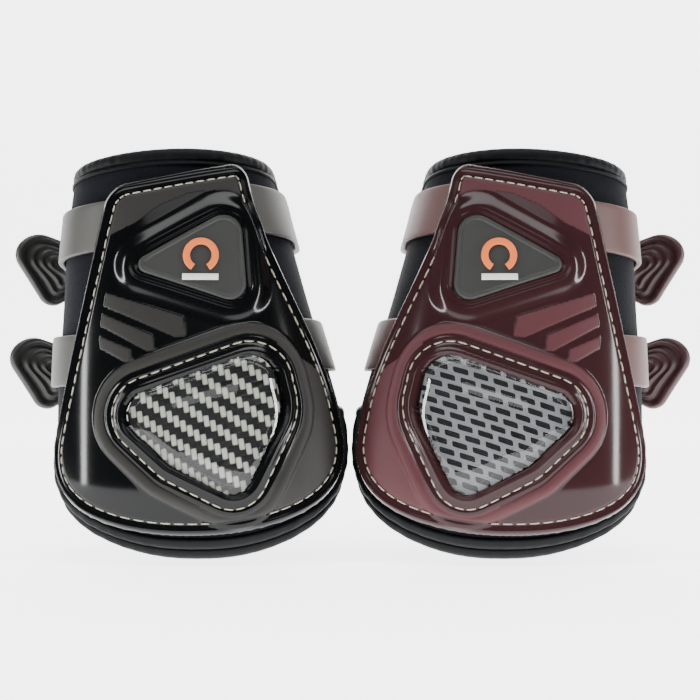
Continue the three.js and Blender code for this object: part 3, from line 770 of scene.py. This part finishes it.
def shell_lattice(columns, rows):
    """Angles and heights of a lattice that fills the shell's outline."""
    w = np.linspace(0, 1, columns)[:, None]
    u = (1 - np.cos(math.pi * w)) / 2
    low, high = shell_span(u)
    v = np.linspace(0, 1, rows)[None, :]
    z = mix(low, high, v)
    return mix(shell_outer_edge(z), shell_inner_edge(z), u), z


@functools.cache
def shell_relief():
    """The shell's face: its points and how matte each is."""
    looks = bpy.context.scene.boot_looks
    angle, z = shell_lattice(230, 250)
    surface = around(angle, z, SHELL_FACE)
    rim = shell_rim()
    edge = distance_to(surface, around(rim[:, 0], rim[:, 1], SHELL_FACE))
    lens = signed_distance(surface, hull_outline(circles_of(LENS_CORNERS), 400), SHELL_FACE)
    badge = signed_distance(surface, hull_outline(circles_of(BADGE_CORNERS), 300), SHELL_FACE)
    x, up = surface[..., 0], surface[..., 2]

    rounding = np.clip(RIM_ROUNDING - edge, 0, RIM_ROUNDING)
    offset = SHELL_FACE - (RIM_ROUNDING - np.sqrt(np.maximum(0, RIM_ROUNDING**2 - rounding**2)))
    offset += looks.rim_bead * bump(edge, 1.9, 0.8) - 0.55 * bump(edge, STITCH_INSET, 0.7)
    collar = 1.3 * fade(lens, 12.6, 10.6)
    boss = 2.1 * fade(badge, 10.5, 3.0) - 0.4 * fade(badge, 3.4, 1.0)
    offset += np.maximum(collar, boss)
    offset += 0.7 * bump(lens, 1.3, 0.8) - 0.6 * bump(lens, STITCH_INSET, 0.75) - 0.5 * bump(lens, 7.4, 1.0)
    offset += 0.4 * bump(badge, 0.9, 0.5)

    stripes = np.zeros(x.shape)
    for corners in STRIPES:
        outline = resample(np.array(corners), 200)
        stripes = np.maximum(stripes, fade(signed_distance(surface, outline, SHELL_FACE), 0.15, -0.35))
    offset += 0.3 * stripes
    offset = np.where(lens < -0.8, CARBON_FACE - 1.0, offset)
    offset = np.where(badge < -0.8, SHELL_FACE, offset)

    fields = np.maximum(inside(x, up, np.array(UPPER_FIELD)), inside(x, up, np.array(INNER_FIELD)))
    fields = fields * fade(edge, 4.9, 5.6) * fade(lens, 6.6, 7.4) * fade(badge, 9.6, 10.6)
    ring = fade(lens, 7.4, 8.0) * fade(lens, 12.2, 11.2) * fade(edge, 4.9, 5.6)
    matte = np.clip(np.maximum.reduce([stripes, ring, fields]), 0, 1)
    return around(angle, z, offset), matte


def make_shell(side):
    """The moulded shell: relief face, turned rim and plain back."""
    face, matte = shell_relief()
    columns, rows = matte.shape
    faces = lattice_faces(columns, rows)
    border = [i * rows for i in range(columns)]
    border += [(columns - 1) * rows + j for j in range(1, rows)]
    border += [i * rows + rows - 1 for i in reversed(range(columns - 1))]
    border += [j for j in reversed(range(1, rows - 1))]
    angle, z = (values.reshape(-1)[border] for values in shell_lattice(columns, rows))
    skirt = around(angle, z, SHELL_BACK)
    first = columns * rows
    count = len(border)
    for k in range(count):
        after = (k + 1) % count
        faces.append([border[after], border[k], first + k, first + after])
    coarse_angle, coarse_z = shell_lattice(60, 50)
    back = around(coarse_angle, coarse_z, SHELL_BACK + 0.2)
    faces += [[first + count + c for c in reversed(face)] for face in lattice_faces(60, 50)]
    points = np.concatenate([face.reshape(-1, 3), skirt, back.reshape(-1, 3)])
    piece = new_piece("shell_moulding", side, points, faces, shell_plastic(side), "boot",
                      replaces=["shell"], finish="{side}_shell")
    values = np.zeros(len(points), np.float32)
    values[:first] = matte.reshape(-1)
    piece.data.attributes.new("matte", "FLOAT", "POINT").data.foreach_set("value", values)


def make_stitching(side):
    """Thread in the channels round the rim and round the lens."""
    looks = bpy.context.scene.boot_looks
    length, gap = looks.stitch_length / MM, looks.stitch_gap / MM
    rim = shell_rim()
    line = around(rim[:, 0], rim[:, 1], SHELL_FACE)
    outside = around(rim[:, 0], rim[:, 1], SHELL_FACE + 1) - line
    tangent = np.roll(line, -3, 0) - np.roll(line, 3, 0)
    inward = np.cross(outside, tangent)
    inward /= np.linalg.norm(inward, axis=1)[:, None]
    seam = line + STITCH_INSET * inward
    middle, depth, _, _ = section(seam[:, 2], 0)
    seam_angle = np.arctan2(seam[:, 0] - middle, -(seam[:, 1] - depth))
    seam = around(seam_angle, seam[:, 2], SHELL_FACE - 0.35)
    normals = around(seam_angle, seam[:, 2], SHELL_FACE + 1) - seam
    rim_points, rim_faces = capsule_run(seam, normals, length, gap, STITCH_WIDTH, STITCH_HEIGHT)
    outline = hull_outline(circles_of(LENS_CORNERS, STITCH_INSET), 900)
    loop = on_front(outline[:, 0], outline[:, 1], SHELL_FACE + 0.95)
    loop_normals = on_front(outline[:, 0], outline[:, 1], SHELL_FACE + 2) - loop
    lens_points, lens_faces = capsule_run(loop, loop_normals, length, gap, STITCH_WIDTH, STITCH_HEIGHT)
    faces = rim_faces + [[len(rim_points) + c for c in face] for face in lens_faces]
    new_piece("shell_stitching", side, np.concatenate([rim_points, lens_points]), faces,
              stitch_thread(), "boot", finish="{side}_shell")


def closed_panel(name, side, outline, rings, face, back, material, **facts):
    """A panel on the front with a domed face, a rounded rim and a back."""
    top = disc_panel(outline, rings, face)
    bottom = disc_panel(outline, 6, lambda r, x, z: np.full(r.shape, back))[:, ::-1]
    points = np.concatenate([top, bottom], 1)
    faces = lattice_faces(points.shape[0], points.shape[1], wrap_columns=True)
    faces = [list(reversed(quad)) for quad in faces]
    return new_piece(name, side, points, faces, material, "boot", **facts)


def make_lens(side):
    """Clear domed window and the woven panel under it."""
    outline = hull_outline(circles_of(LENS_CORNERS), 160)

    def dome(r, x, z):
        edge = 0.3 * np.sqrt(np.maximum(0, 1 - r**8))
        return SHELL_FACE + 0.2 + LENS_DOME * (1 - r**2.6) + edge

    closed_panel("lens_window", side, outline, 40, dome, CARBON_FACE + 0.4, clear_lens(),
                 replaces=["lens"], finish="clear_lens")
    panel_outline = hull_outline(circles_of(LENS_CORNERS, -0.2), 120)
    closed_panel("woven_panel", side, panel_outline, 24, lambda r, x, z: CARBON_FACE + 0 * r,
                 SHELL_BACK, carbon_cloth(side), replaces=["carbon_panel"], finish="{side}_carbon")


def make_badge(side):
    """Rubber badge with a moulded rim, a horseshoe arc and a bar."""
    outline = hull_outline(circles_of(BADGE_CORNERS), 150)

    def face(r, x, z):
        distance = signed_distance(on_front(x, z, BADGE_FACE), outline, BADGE_FACE)
        rim = 0.35 * bump(distance, -1.2, 0.5) - 0.7 * fade(distance, -0.5, 0)
        return BADGE_FACE + rim - 0.25 * fade(distance, -1.4, -2.2)

    closed_panel("badge_pad", side, outline, 40, face, BADGE_BACK,
                 moulded_rubber("badge rubber", 0x272826, 0.6), replaces=["badge"], finish="badge_rubber")
    emblem_low, emblem_high = local_box("left_badge_emblem")
    stripe_low, stripe_high = local_box("left_badge_stripe")
    middle = (emblem_low + emblem_high) / 2
    radius = (emblem_high[0] - emblem_low[0]) / 2
    turn = np.radians(np.linspace(-58, 238, 60))
    run = radius - EMBLEM_WIDTH / 2
    arc = np.stack([middle[0] + run * np.cos(turn), emblem_high[2] - radius + run * np.sin(turn)], -1)
    bar_x = np.linspace(stripe_low[0], stripe_high[0], 30)
    bar = np.stack([bar_x, np.full(bar_x.shape, (stripe_low[2] + stripe_high[2]) / 2)], -1)
    for name, node, line, width, code, finish in (
        ("badge_horseshoe", "badge_emblem", arc, EMBLEM_WIDTH, 0xF47A35, "emblem_orange"),
        ("badge_bar", "badge_stripe", bar, EMBLEM_BAR, 0xEDEDEB, "emblem_white"),
    ):
        points = raised_line(line, width)
        new_piece(name, side, points, strip_faces(points), moulded_rubber(finish, code, 0.5, 0.3, 0.02),
                  "boot", replaces=[node], finish=finish)


def raised_line(line, width):
    """A raised bar with round edges that follows a line on the badge."""
    tangent = np.gradient(line, axis=0)
    tangent /= np.linalg.norm(tangent, axis=1)[:, None]
    normal = np.stack([-tangent[:, 1], tangent[:, 0]], -1)
    across = np.array([-1, -1, -0.9, -0.7, 0, 0.7, 0.9, 1, 1]) * width / 2
    lift = np.array([-0.6, 0.2, 0.5, 0.6, 0.62, 0.6, 0.5, 0.2, -0.6])
    x = line[:, 0, None] + normal[:, 0, None] * across
    z = line[:, 1, None] + normal[:, 1, None] * across
    return on_front(x, z, BADGE_FACE + lift)


# ---- Liners, bindings and the closing flap ----


def liner_angle(u, z, offset):
    """From the flap's free edge round the outer side, the front and the inner side to the hinge."""
    return mix(back_angle(SEAM_X, z, offset), back_angle(HINGE_X + 0.3, z, offset), u)


def hem_at(u):
    return hem_height(liner_angle(u, SIDE_HEM, 0.0))


def collar_at(u):
    return collar_height(liner_angle(u, BOOT_HEIGHT, 0.0))


def liner_strip(columns, loop, low, high, back, swell=lambda u, z: 0.0):
    """A wall of the liner between low and high, both functions of the share of the way round."""
    return strip(
        columns, loop,
        lambda u: (low(u), high(u)),
        back,
        lambda u, z, offset: around(liner_angle(u, z, offset), z, offset + swell(u, z)),
    )


def puckers(u, z):
    """Small gathers along a sewn edge."""
    return 0.10 * np.sin(u * 300 + 1.3 * np.sin(u * 37)) + 0.06 * np.sin(u * 173)


def soft_waves(u, z):
    """Slow unevenness of foam pulled by its seams."""
    return 0.18 * np.sin(u * 23 + z / 15) + 0.12 * np.sin(u * 11 - z / 9)


def make_liner(side):
    """Outer and inner neoprene walls."""
    outer = liner_strip(
        220, rounded_section(OUTER_LINER, 1.2, 30),
        lambda u: hem_at(u) + 4.2, lambda u: collar_at(u) - TOP_BINDING + 0.5,
        INNER_LINER + 0.3, soft_waves)
    new_piece("outer_neoprene", side, outer, strip_faces(outer), neoprene(side), "boot",
              replaces=["outer_liner"], finish="neoprene", fill=0.5)
    inner = liner_strip(
        200, rounded_section(INNER_LINER, 1.3, 24),
        lambda u: hem_at(u) + HEM_BINDING - 0.6, lambda u: collar_at(u) - TOP_BINDING + 0.5, 0.0)
    new_piece("inner_neoprene", side, inner, strip_faces(inner), neoprene(side), "boot",
              replaces=["inner_liner"], finish="neoprene", fill=0.5)


def make_bindings(side):
    """Padded collar, its piping, and the two rolls of the hem."""
    collar = liner_strip(
        260, rounded_section(LINER_FACE + 1.2, 2.3, 6, 7),
        lambda u: collar_at(u) - TOP_BINDING - 0.2, lambda u: collar_at(u) + 0.1, -0.5,
        puckers)
    new_piece("padded_collar", side, collar, strip_faces(collar), stretch_binding(), "boot",
              replaces=["top_binding"], finish="binding", fill=0.7)
    piping = liner_strip(
        240, rounded_section(1.5, 0.7, 1, 5),
        lambda u: collar_at(u) - TOP_BINDING - 1.9, lambda u: collar_at(u) - TOP_BINDING - 0.4,
        LINER_FACE - 0.6)
    new_piece("collar_piping", side, piping, strip_faces(piping), stretch_binding(), "boot", finish="binding")
    rolls = [
        liner_strip(240, rounded_section(LINER_FACE + 0.6, 1.9, 3, 6),
                    hem_at, lambda u: hem_at(u) + 4.2, -0.3, puckers),
        liner_strip(240, rounded_section(OUTER_LINER + 1.8, 1.9, 3, 6),
                    lambda u: hem_at(u) + 4.0, lambda u: hem_at(u) + 8.4, INNER_LINER + 0.2, puckers),
    ]
    faces = strip_faces(rolls[0])
    second = rolls[0].shape[0] * rolls[0].shape[1]
    faces += [[second + c for c in face] for face in strip_faces(rolls[1])]
    points = np.concatenate([roll.reshape(-1, 3) for roll in rolls])
    new_piece("hem_rolls", side, points, faces, stretch_binding(), "boot",
              replaces=["bottom_binding"], finish="binding", fill=0.6)


def flap_strip(columns, loop, low, high, back, free=0.0, swell=0.0):
    """A wall of the closing flap, from the hinge to its free edge."""
    def place(u, z, offset):
        start = back_angle(HINGE_X - 0.3, z, offset)
        end = 2 * math.pi + back_angle(FLAP_FREE_X + free, z, offset)
        puff = swell * np.sin(math.pi * u) ** 0.5
        return around(mix(start, end, u), z, offset + puff)
    return strip(columns, loop, lambda u: (low + 0 * u, high + 0 * u), back, place)


def make_flap(side):
    """Closing flap: two neoprene walls and the binding round them."""
    top = float(collar_height(math.pi))
    outer = flap_strip(60, rounded_section(OUTER_LINER, 1.2, 24), SIDE_HEM + 2, top - 3, INNER_LINER + 0.3,
                       free=2.0, swell=0.25)
    new_piece("flap_outer_neoprene", side, outer, strip_faces(outer), neoprene(side), "closing_flap",
              replaces=["closing_flap_outer"], finish="neoprene", fill=0.5)
    inner = flap_strip(60, rounded_section(INNER_LINER, 1.2, 24), SIDE_HEM + 2, top - 3, 0.0, free=2.0)
    new_piece("flap_inner_neoprene", side, inner, strip_faces(inner), neoprene(side), "closing_flap",
              replaces=["closing_flap_inner"], finish="neoprene", fill=0.5)
    edges = [
        flap_strip(60, rounded_section(LINER_FACE + 1.2, 2.3, 6, 6), top - TOP_BINDING, top, -0.5),
        flap_strip(60, rounded_section(LINER_FACE + 0.8, 1.8, 4, 6), SIDE_HEM, SIDE_HEM + 4, -0.4),
    ]

    def free_edge(u, z, offset):
        angle = 2 * math.pi + back_angle(FLAP_FREE_X + u * HEM_BINDING, z, offset)
        return around(angle, z, offset)

    upright = strip(12, rounded_section(LINER_FACE + 0.8, 1.8, 40, 6),
                    lambda u: (SIDE_HEM + 1 + 0 * u, top - 1 + 0 * u), -0.4,
                    lambda u, z, offset: free_edge(1 - u, z, offset))
    points, faces, base = [], [], 0
    for part in (*edges, upright):
        faces += [[base + c for c in face] for face in strip_faces(part)]
        points.append(part.reshape(-1, 3))
        base += part.shape[0] * part.shape[1]
    new_piece("flap_edging", side, np.concatenate(points), faces, stretch_binding(), "closing_flap",
              replaces=["flap_binding"], finish="binding", fill=0.6)


def make_gusset(side):
    """Neoprene that bridges the flap's hinge line; it is baked in place and rides on neither body."""
    reach = 7.0
    top = float(collar_height(math.pi))

    def place(u, z, offset):
        start = back_angle(HINGE_X + reach, z, offset)
        end = back_angle(HINGE_X - reach, z, offset)
        return around(mix(start, end, u), z, offset)

    bridge = strip(40, rounded_section(LINER_FACE - 1.6, 1.2, 20),
                   lambda u: (SIDE_HEM + 2.0 + 0 * u, top - 2.0 + 0 * u), 0.8, place)
    ends = [to_world(np.array([HINGE_X + shift, 0.0, 0.0]), side).tolist() for shift in (3.0, -3.0)]
    new_piece("hinge_gusset", side, bridge, strip_faces(bridge), neoprene(side),
              ("boot", "closing_flap", *ends), finish="neoprene", fill=0.5)


# ---- Bands, straps, studs and tabs ----

STRAP_COLOURS = {"left": 0x3A3935, "right": 0x533633}
TAB_COLOURS = {"left": 0x20201F, "right": 0x3A2124}


def strap_rubber(side):
    return moulded_rubber(f"{side} strap rubber", STRAP_COLOURS[side], 0.5, 0.5, 0.04)


def tab_rubber(side):
    return moulded_rubber(f"{side} tab rubber", TAB_COLOURS[side], 0.42, 0.4, 0.03)


def make_bands(side):
    """Stud bands on the outer side and strap anchors on the inner side."""
    half = STRAP_HEIGHT / 2
    for level in LEVELS:
        places = strap_places(level)

        def band_span(u):
            middle = mix(places["stud_z"], BAND_LEVELS[level], u)
            return middle - half, middle + half

        def band_place(u, z, offset):
            start = back_angle(places["stud_x"] + BAND_END, z, offset)
            return around(mix(start, shell_outer_edge(z) + math.radians(5), u), z, offset)

        band = strip(120, rounded_section(BAND, 0.8, 10, 4), band_span, BAND_BACK, band_place)
        new_piece(f"{level}_outer_band", side, band, strip_faces(band), strap_rubber(side), "boot",
                  replaces=[f"{level}_stud_band"], finish="{side}_strap")

        def anchor_span(u):
            middle = mix(ANCHOR_LEVELS[level], places["hinge_z"], u)
            return middle - half, middle + half

        def anchor_place(u, z, offset):
            lift = fade(u, 0.62, 0.95) * (STRAP_BACK - BAND_BACK)
            end = back_angle(HINGE_X + STRAP / 2 + 0.7, z, offset)
            return around(mix(shell_inner_edge(z) - math.radians(6), end, u), z, offset + lift)

        anchor = strip(120, rounded_section(BAND, 0.8, 10, 4), anchor_span, BAND_BACK, anchor_place)
        new_piece(f"{level}_inner_band", side, anchor, strip_faces(anchor), strap_rubber(side), "boot",
                  replaces=[f"{level}_strap_anchor"], finish="{side}_strap")


def softened_copy(node, name, body, material, width):
    """A CAD piece with its flat faces joined and its edges rounded."""
    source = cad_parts[node]
    work = bmesh.new()
    work.from_mesh(source.data)
    bmesh.ops.remove_doubles(work, verts=work.verts, dist=1e-6)
    bmesh.ops.dissolve_limit(work, angle_limit=math.radians(4), verts=work.verts, edges=work.edges)
    sharp = [e for e in work.edges if len(e.link_faces) == 2 and e.calc_face_angle() > math.radians(35)]
    bmesh.ops.bevel(work, geom=sharp, offset=width * MM, segments=3, profile=0.5, affect="EDGES",
                    clamp_overlap=True)
    mesh = bpy.data.meshes.new(name)
    work.to_mesh(mesh)
    work.free()
    mesh.materials.clear()
    mesh.materials.append(material)
    mesh.polygons.foreach_set("use_smooth", [True] * len(mesh.polygons))
    mesh.set_sharp_from_angle(angle=math.radians(50))
    piece = bpy.data.objects.new(name, mesh)
    bpy.context.scene.collection.objects.link(piece)
    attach(piece, body)
    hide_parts(node)
    return piece


def make_straps(side):
    """Straps over the back and the studs that hold them."""
    stud_nylon = moulded_rubber("stud nylon", 0x232425, 0.35, 0.4, 0.02)
    for level in LEVELS:
        softened_copy(f"{side}_{level}_strap", f"{side}_{level}_back_strap", f"{side}_{level}_strap",
                      strap_rubber(side), 0.6)
        softened_copy(f"{side}_{level}_stud", f"{side}_{level}_stud_cap", f"{side}_boot",
                      stud_nylon, 0.3)


def tab_outline(count):
    """Outline of the tab as reach from the neck and height, seen from its hole."""
    circles = [(-1, 0, NECK_HEIGHT / 2), (0.65 * TAB_REACH, 5.5, 9), (0.48 * TAB_REACH, -10, 6)]
    leaf = hull_outline(circles, 720)
    hole = np.array(TAB_HOLE_SPOT)
    leaf[:, 0] = np.maximum(leaf[:, 0], -STRAP / 2)
    turn = np.unwrap(np.arctan2(leaf[:, 1] - hole[1], leaf[:, 0] - hole[0]))
    order = np.argsort(turn)
    wanted = np.linspace(turn[order][0], turn[order][0] + 2 * math.pi, count, endpoint=False)
    reach = np.linalg.norm(leaf - hole, axis=1)
    return hole, wanted, np.interp(wanted, turn[order], reach[order], period=2 * math.pi)


def make_tabs(side):
    """Curled finger tabs: concentric ridges on the hollow face, a thick lip and a small hole."""
    hole, turn, reach = tab_outline(140)
    half = STRAP / 2
    share = np.linspace(0, 1, 60)
    direction = np.stack([np.cos(turn), np.sin(turn)], -1)
    inner_rim = TAB_HOLE + 0.3
    radius = inner_rim + (reach[:, None] - TAB_EDGE - inner_rim) * share[None, :]
    spot = hole + direction[:, None, :] * radius[..., None]
    from_root = np.hypot(spot[..., 0] - 2.0, spot[..., 1] + 1.0)
    rim = reach[:, None] - radius
    outward = fade(spot[..., 0], 4.0, 8.0)
    ridges = sum(bump(rim, place, 1.0) for place in (6.6, 10.2, 13.8)) * outward
    lip = 1.3 * fade(rim, 4.2, 2.2) * fade(spot[..., 0], 3.0, 10.0)
    dish = -0.5 * fade(from_root, 5, 9) * fade(rim, 1.5, 4)
    hole_bead = 0.5 * bump(radius, inner_rim + 1.0, 0.8)
    front = -(half + ridges * fade(rim, 1.6, 3.0) + lip + dish + hole_bead)
    bends = np.radians([22, 45, 68, 90, 112, 135, 158])
    edge_front, edge_back = front[:, -1:], half
    middle, reach_out = (edge_front + edge_back) / 2, (edge_back - edge_front) / 2
    round_radius = reach[:, None] - TAB_EDGE + TAB_EDGE * np.sin(bends)
    round_spot = hole + direction[:, None, :] * round_radius[..., None]
    round_depth = middle - reach_out * np.cos(bends)
    back_radius = radius[:, ::-4]
    back_spot = hole + direction[:, None, :] * back_radius[..., None]
    back_depth = np.full(back_radius.shape, half)
    throat = np.radians([135, 90, 45])
    throat_spot = hole + direction[:, None, :] * (inner_rim - 0.3 * np.sin(throat))[None, :, None]
    throat_depth = -half * np.cos(throat)[None, :] + 0 * reach[:, None]
    spots = np.concatenate([spot, round_spot, back_spot, throat_spot], 1)
    depths = np.concatenate([front, round_depth, back_depth, throat_depth], 1)
    faces = lattice_faces(spots.shape[0], spots.shape[1], True, True)
    for level in LEVELS:
        places = strap_places(level)
        bend = np.arcsin(spots[..., 0] / TAB_CURL)
        curl = TAB_CURL + depths
        points = np.stack([
            places["neck_x"] - curl * np.sin(bend),
            STRAP_AXIS - TAB_CURL + curl * np.cos(bend),
            places["neck_z"] + spots[..., 1],
        ], -1)
        new_piece(f"{level}_finger_tab", side, points, faces, tab_rubber(side), f"{level}_tab",
                  replaces=[f"{level}_pull_tab"], finish="{side}_tab")


def finish_hidden(side):
    """Materials of the pieces that keep their CAD shape."""
    gel = moulded_rubber("shock gel", 0x55585C, 0.4, 1.2, 0.05)
    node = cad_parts[f"{side}_gel_pad"]
    node.data.materials.clear()
    node.data.materials.append(gel)


# ---- Stage ----

CAMERA_DISTANCE = 0.605
CAMERA_HEIGHT = 0.0777
VIEW_ANGLE = 25.8
PAPER_GLOW = 3.4
AIR_GLOW = 0.04
LAMP_TARGET = (0, 0, 0.08)
# Name, place, target, size in metres and power in watts
LAMPS = (
    ("top softbox", (0, -0.2, 0.75), LAMP_TARGET, (0.9, 0.25), 4.5),
    ("left strip", (-0.75, -0.3, 0.15), LAMP_TARGET, (0.06, 0.7), 6),
    ("right strip", (0.75, -0.3, 0.15), LAMP_TARGET, (0.06, 0.7), 6),
    ("front fill", (0, -1.3, 1.0), LAMP_TARGET, (1.0, 0.25), 2.5),
    ("paper light", (0, 0.55, 1.2), (0, 1.2, 0.1), (2.0, 0.6), 6),
)


def add_light(name, place, target, size, power):
    light = bpy.data.lights.new(name, "AREA")
    light.shape = "RECTANGLE"
    light.size, light.size_y = size
    light.energy = power
    lamp = bpy.data.objects.new(name, light)
    lamp.location = place
    direction = np.array(target) - np.array(place)
    lamp.rotation_euler = Vector(direction).to_track_quat("-Z", "Y").to_euler()
    bpy.context.scene.collection.objects.link(lamp)


def make_stage():
    """Pale floor that curves up into a backdrop, soft studio lights and the camera."""
    scene = bpy.context.scene
    profile = [(-0.32, 0.0)] + [(0.9 + 0.6 * math.sin(a), 0.6 - 0.6 * math.cos(a))
                               for a in np.linspace(0, math.pi / 2, 16)] + [(1.5, 2.2)]
    points = np.array([[(x, y, z - 0.001) for y, z in profile] for x in np.linspace(-2.5, 2.5, 12)])
    faces = [list(reversed(f)) for f in lattice_faces(points.shape[0], points.shape[1])]
    mesh = bpy.data.meshes.new("studio_sweep")
    mesh.from_pydata(points.reshape(-1, 3).tolist(), [], faces)
    mesh.polygons.foreach_set("use_smooth", [True] * len(mesh.polygons))
    material, shader, principled, place = begin_material(
        "studio paper", Roughness=0.9, Emission_Color=(1.0, 1.0, 1.0, 1.0), Emission_Strength=PAPER_GLOW)
    paper = shader.noise(place, 3.0, 2.0)
    shader.set(principled.inputs["Base Color"],
               shader.blend(paper, (0.93, 0.93, 0.93, 1), (0.96, 0.96, 0.96, 1)))
    mesh.materials.append(material)
    sweep = bpy.data.objects.new("studio_sweep", mesh)
    scene.collection.objects.link(sweep)

    world = bpy.data.worlds.new("studio air")
    world.use_nodes = True
    world.node_tree.nodes["Background"].inputs["Color"].default_value = (1, 1, 1, 1)
    world.node_tree.nodes["Background"].inputs["Strength"].default_value = AIR_GLOW
    scene.world = world

    for lamp in LAMPS:
        add_light(*lamp)

    camera = bpy.data.cameras.new("studio camera")
    camera.angle = math.radians(VIEW_ANGLE)
    camera.clip_start = 0.01
    stand = bpy.data.objects.new("studio camera", camera)
    stand.location = (0, -CAMERA_DISTANCE, CAMERA_HEIGHT)
    stand.rotation_euler = (math.radians(90), 0, 0)
    scene.collection.objects.link(stand)
    scene.camera = stand


# ---- Settings, operators and panel ----


class BootLooks(bpy.types.PropertyGroup):
    """Sizes and colours of the pair."""

    left_gloss: FloatVectorProperty(name="Left Gloss", description="Glossy plastic of the left shell",
                                    default=colour(0x08090A)[:3], subtype="COLOR")
    left_matte: FloatVectorProperty(name="Left Matte", description="Grained fields of the left shell",
                                    default=colour(0x282725)[:3], subtype="COLOR")
    right_gloss: FloatVectorProperty(name="Right Gloss", description="Glossy plastic of the right shell",
                                     default=colour(0x2E1A1C)[:3], subtype="COLOR")
    right_matte: FloatVectorProperty(name="Right Matte", description="Grained fields of the right shell",
                                     default=colour(0x4C2A2E)[:3], subtype="COLOR")
    rim_bead: FloatProperty(name="Rim Bead", description="Height of the bead round the shell in mm",
                            default=0.8, min=0.0, max=1.5)
    stitch_length: FloatProperty(name="Stitch Length", description="Length of one stitch",
                                 default=0.0036, unit="LENGTH")
    stitch_gap: FloatProperty(name="Stitch Gap", description="Gap between two stitches",
                              default=0.0009, unit="LENGTH")


class PieceOperator:
    """Shared run of the operators that build the same piece of both boots."""

    bl_options = {"REGISTER", "UNDO"}

    def execute(self, context):
        for side in SIDES:
            type(self).build(side)
        return {"FINISHED"}


class BOOTS_OT_shells(PieceOperator, bpy.types.Operator):
    """Mould the two shells with their beads, stripes and grained fields"""

    bl_idname = "boots.shells"
    bl_label = "Shells"
    build = staticmethod(make_shell)


class BOOTS_OT_stitching(PieceOperator, bpy.types.Operator):
    """Sew the thread round the rim and the lens"""

    bl_idname = "boots.stitching"
    bl_label = "Stitching"
    build = staticmethod(make_stitching)


class BOOTS_OT_lenses(PieceOperator, bpy.types.Operator):
    """Fit the clear lenses and the woven panels"""

    bl_idname = "boots.lenses"
    bl_label = "Lenses"
    build = staticmethod(make_lens)


class BOOTS_OT_badges(PieceOperator, bpy.types.Operator):
    """Fit the rubber badges and their inlays"""

    bl_idname = "boots.badges"
    bl_label = "Badges"
    build = staticmethod(make_badge)


class BOOTS_OT_liners(PieceOperator, bpy.types.Operator):
    """Form the neoprene walls"""

    bl_idname = "boots.liners"
    bl_label = "Liners"
    build = staticmethod(make_liner)


class BOOTS_OT_bindings(PieceOperator, bpy.types.Operator):
    """Sew on the collar, its piping and the hem"""

    bl_idname = "boots.bindings"
    bl_label = "Bindings"
    build = staticmethod(make_bindings)


class BOOTS_OT_flaps(PieceOperator, bpy.types.Operator):
    """Make the closing flaps"""

    bl_idname = "boots.flaps"
    bl_label = "Closing Flaps"
    build = staticmethod(make_flap)


class BOOTS_OT_gussets(PieceOperator, bpy.types.Operator):
    """Bridge the hinge line of each closing flap"""

    bl_idname = "boots.gussets"
    bl_label = "Hinge Gussets"
    build = staticmethod(make_gusset)


class BOOTS_OT_bands(PieceOperator, bpy.types.Operator):
    """Fit the fixed bands at both sides"""

    bl_idname = "boots.bands"
    bl_label = "Bands"
    build = staticmethod(make_bands)


class BOOTS_OT_straps(PieceOperator, bpy.types.Operator):
    """Fit the straps and their studs"""

    bl_idname = "boots.straps"
    bl_label = "Straps and Studs"
    build = staticmethod(make_straps)


class BOOTS_OT_tabs(PieceOperator, bpy.types.Operator):
    """Mould the finger tabs"""

    bl_idname = "boots.tabs"
    bl_label = "Finger Tabs"
    build = staticmethod(make_tabs)


class BOOTS_OT_pads(PieceOperator, bpy.types.Operator):
    """Finish the gel pads behind the lenses"""

    bl_idname = "boots.pads"
    bl_label = "Gel Pads"
    build = staticmethod(finish_hidden)


class BOOTS_OT_stage(bpy.types.Operator):
    """Set up the floor, the lights and the camera"""

    bl_idname = "boots.stage"
    bl_label = "Stage"

    def execute(self, context):
        make_stage()
        return {"FINISHED"}


PIECE_OPERATORS = (
    BOOTS_OT_shells, BOOTS_OT_stitching, BOOTS_OT_lenses, BOOTS_OT_badges, BOOTS_OT_liners,
    BOOTS_OT_bindings, BOOTS_OT_flaps, BOOTS_OT_gussets, BOOTS_OT_bands, BOOTS_OT_straps, BOOTS_OT_tabs,
    BOOTS_OT_pads, BOOTS_OT_stage,
)


class BOOTS_PT_panel(bpy.types.Panel):
    """Sizes, colours and build steps of the boots"""

    bl_idname = "BOOTS_PT_panel"
    bl_label = "Fetlock Boots"
    bl_space_type = "VIEW_3D"
    bl_region_type = "UI"
    bl_category = "Boots"

    def draw(self, context):
        looks = context.scene.boot_looks
        for name in BootLooks.__annotations__:
            self.layout.prop(looks, name)
        for operator in PIECE_OPERATORS:
            self.layout.operator(operator.bl_idname)


CLASSES = (BootLooks, *PIECE_OPERATORS, BOOTS_PT_panel)


def register():
    for made in CLASSES:
        bpy.utils.register_class(made)
    bpy.types.Scene.boot_looks = PointerProperty(type=BootLooks)


def unregister():
    del bpy.types.Scene.boot_looks
    for made in reversed(CLASSES):
        bpy.utils.unregister_class(made)


def main():
    register()
    for operator in PIECE_OPERATORS:
        group, name = operator.bl_idname.split(".")
        getattr(getattr(bpy.ops, group), name)()


if __name__ == "__main__":
    main()
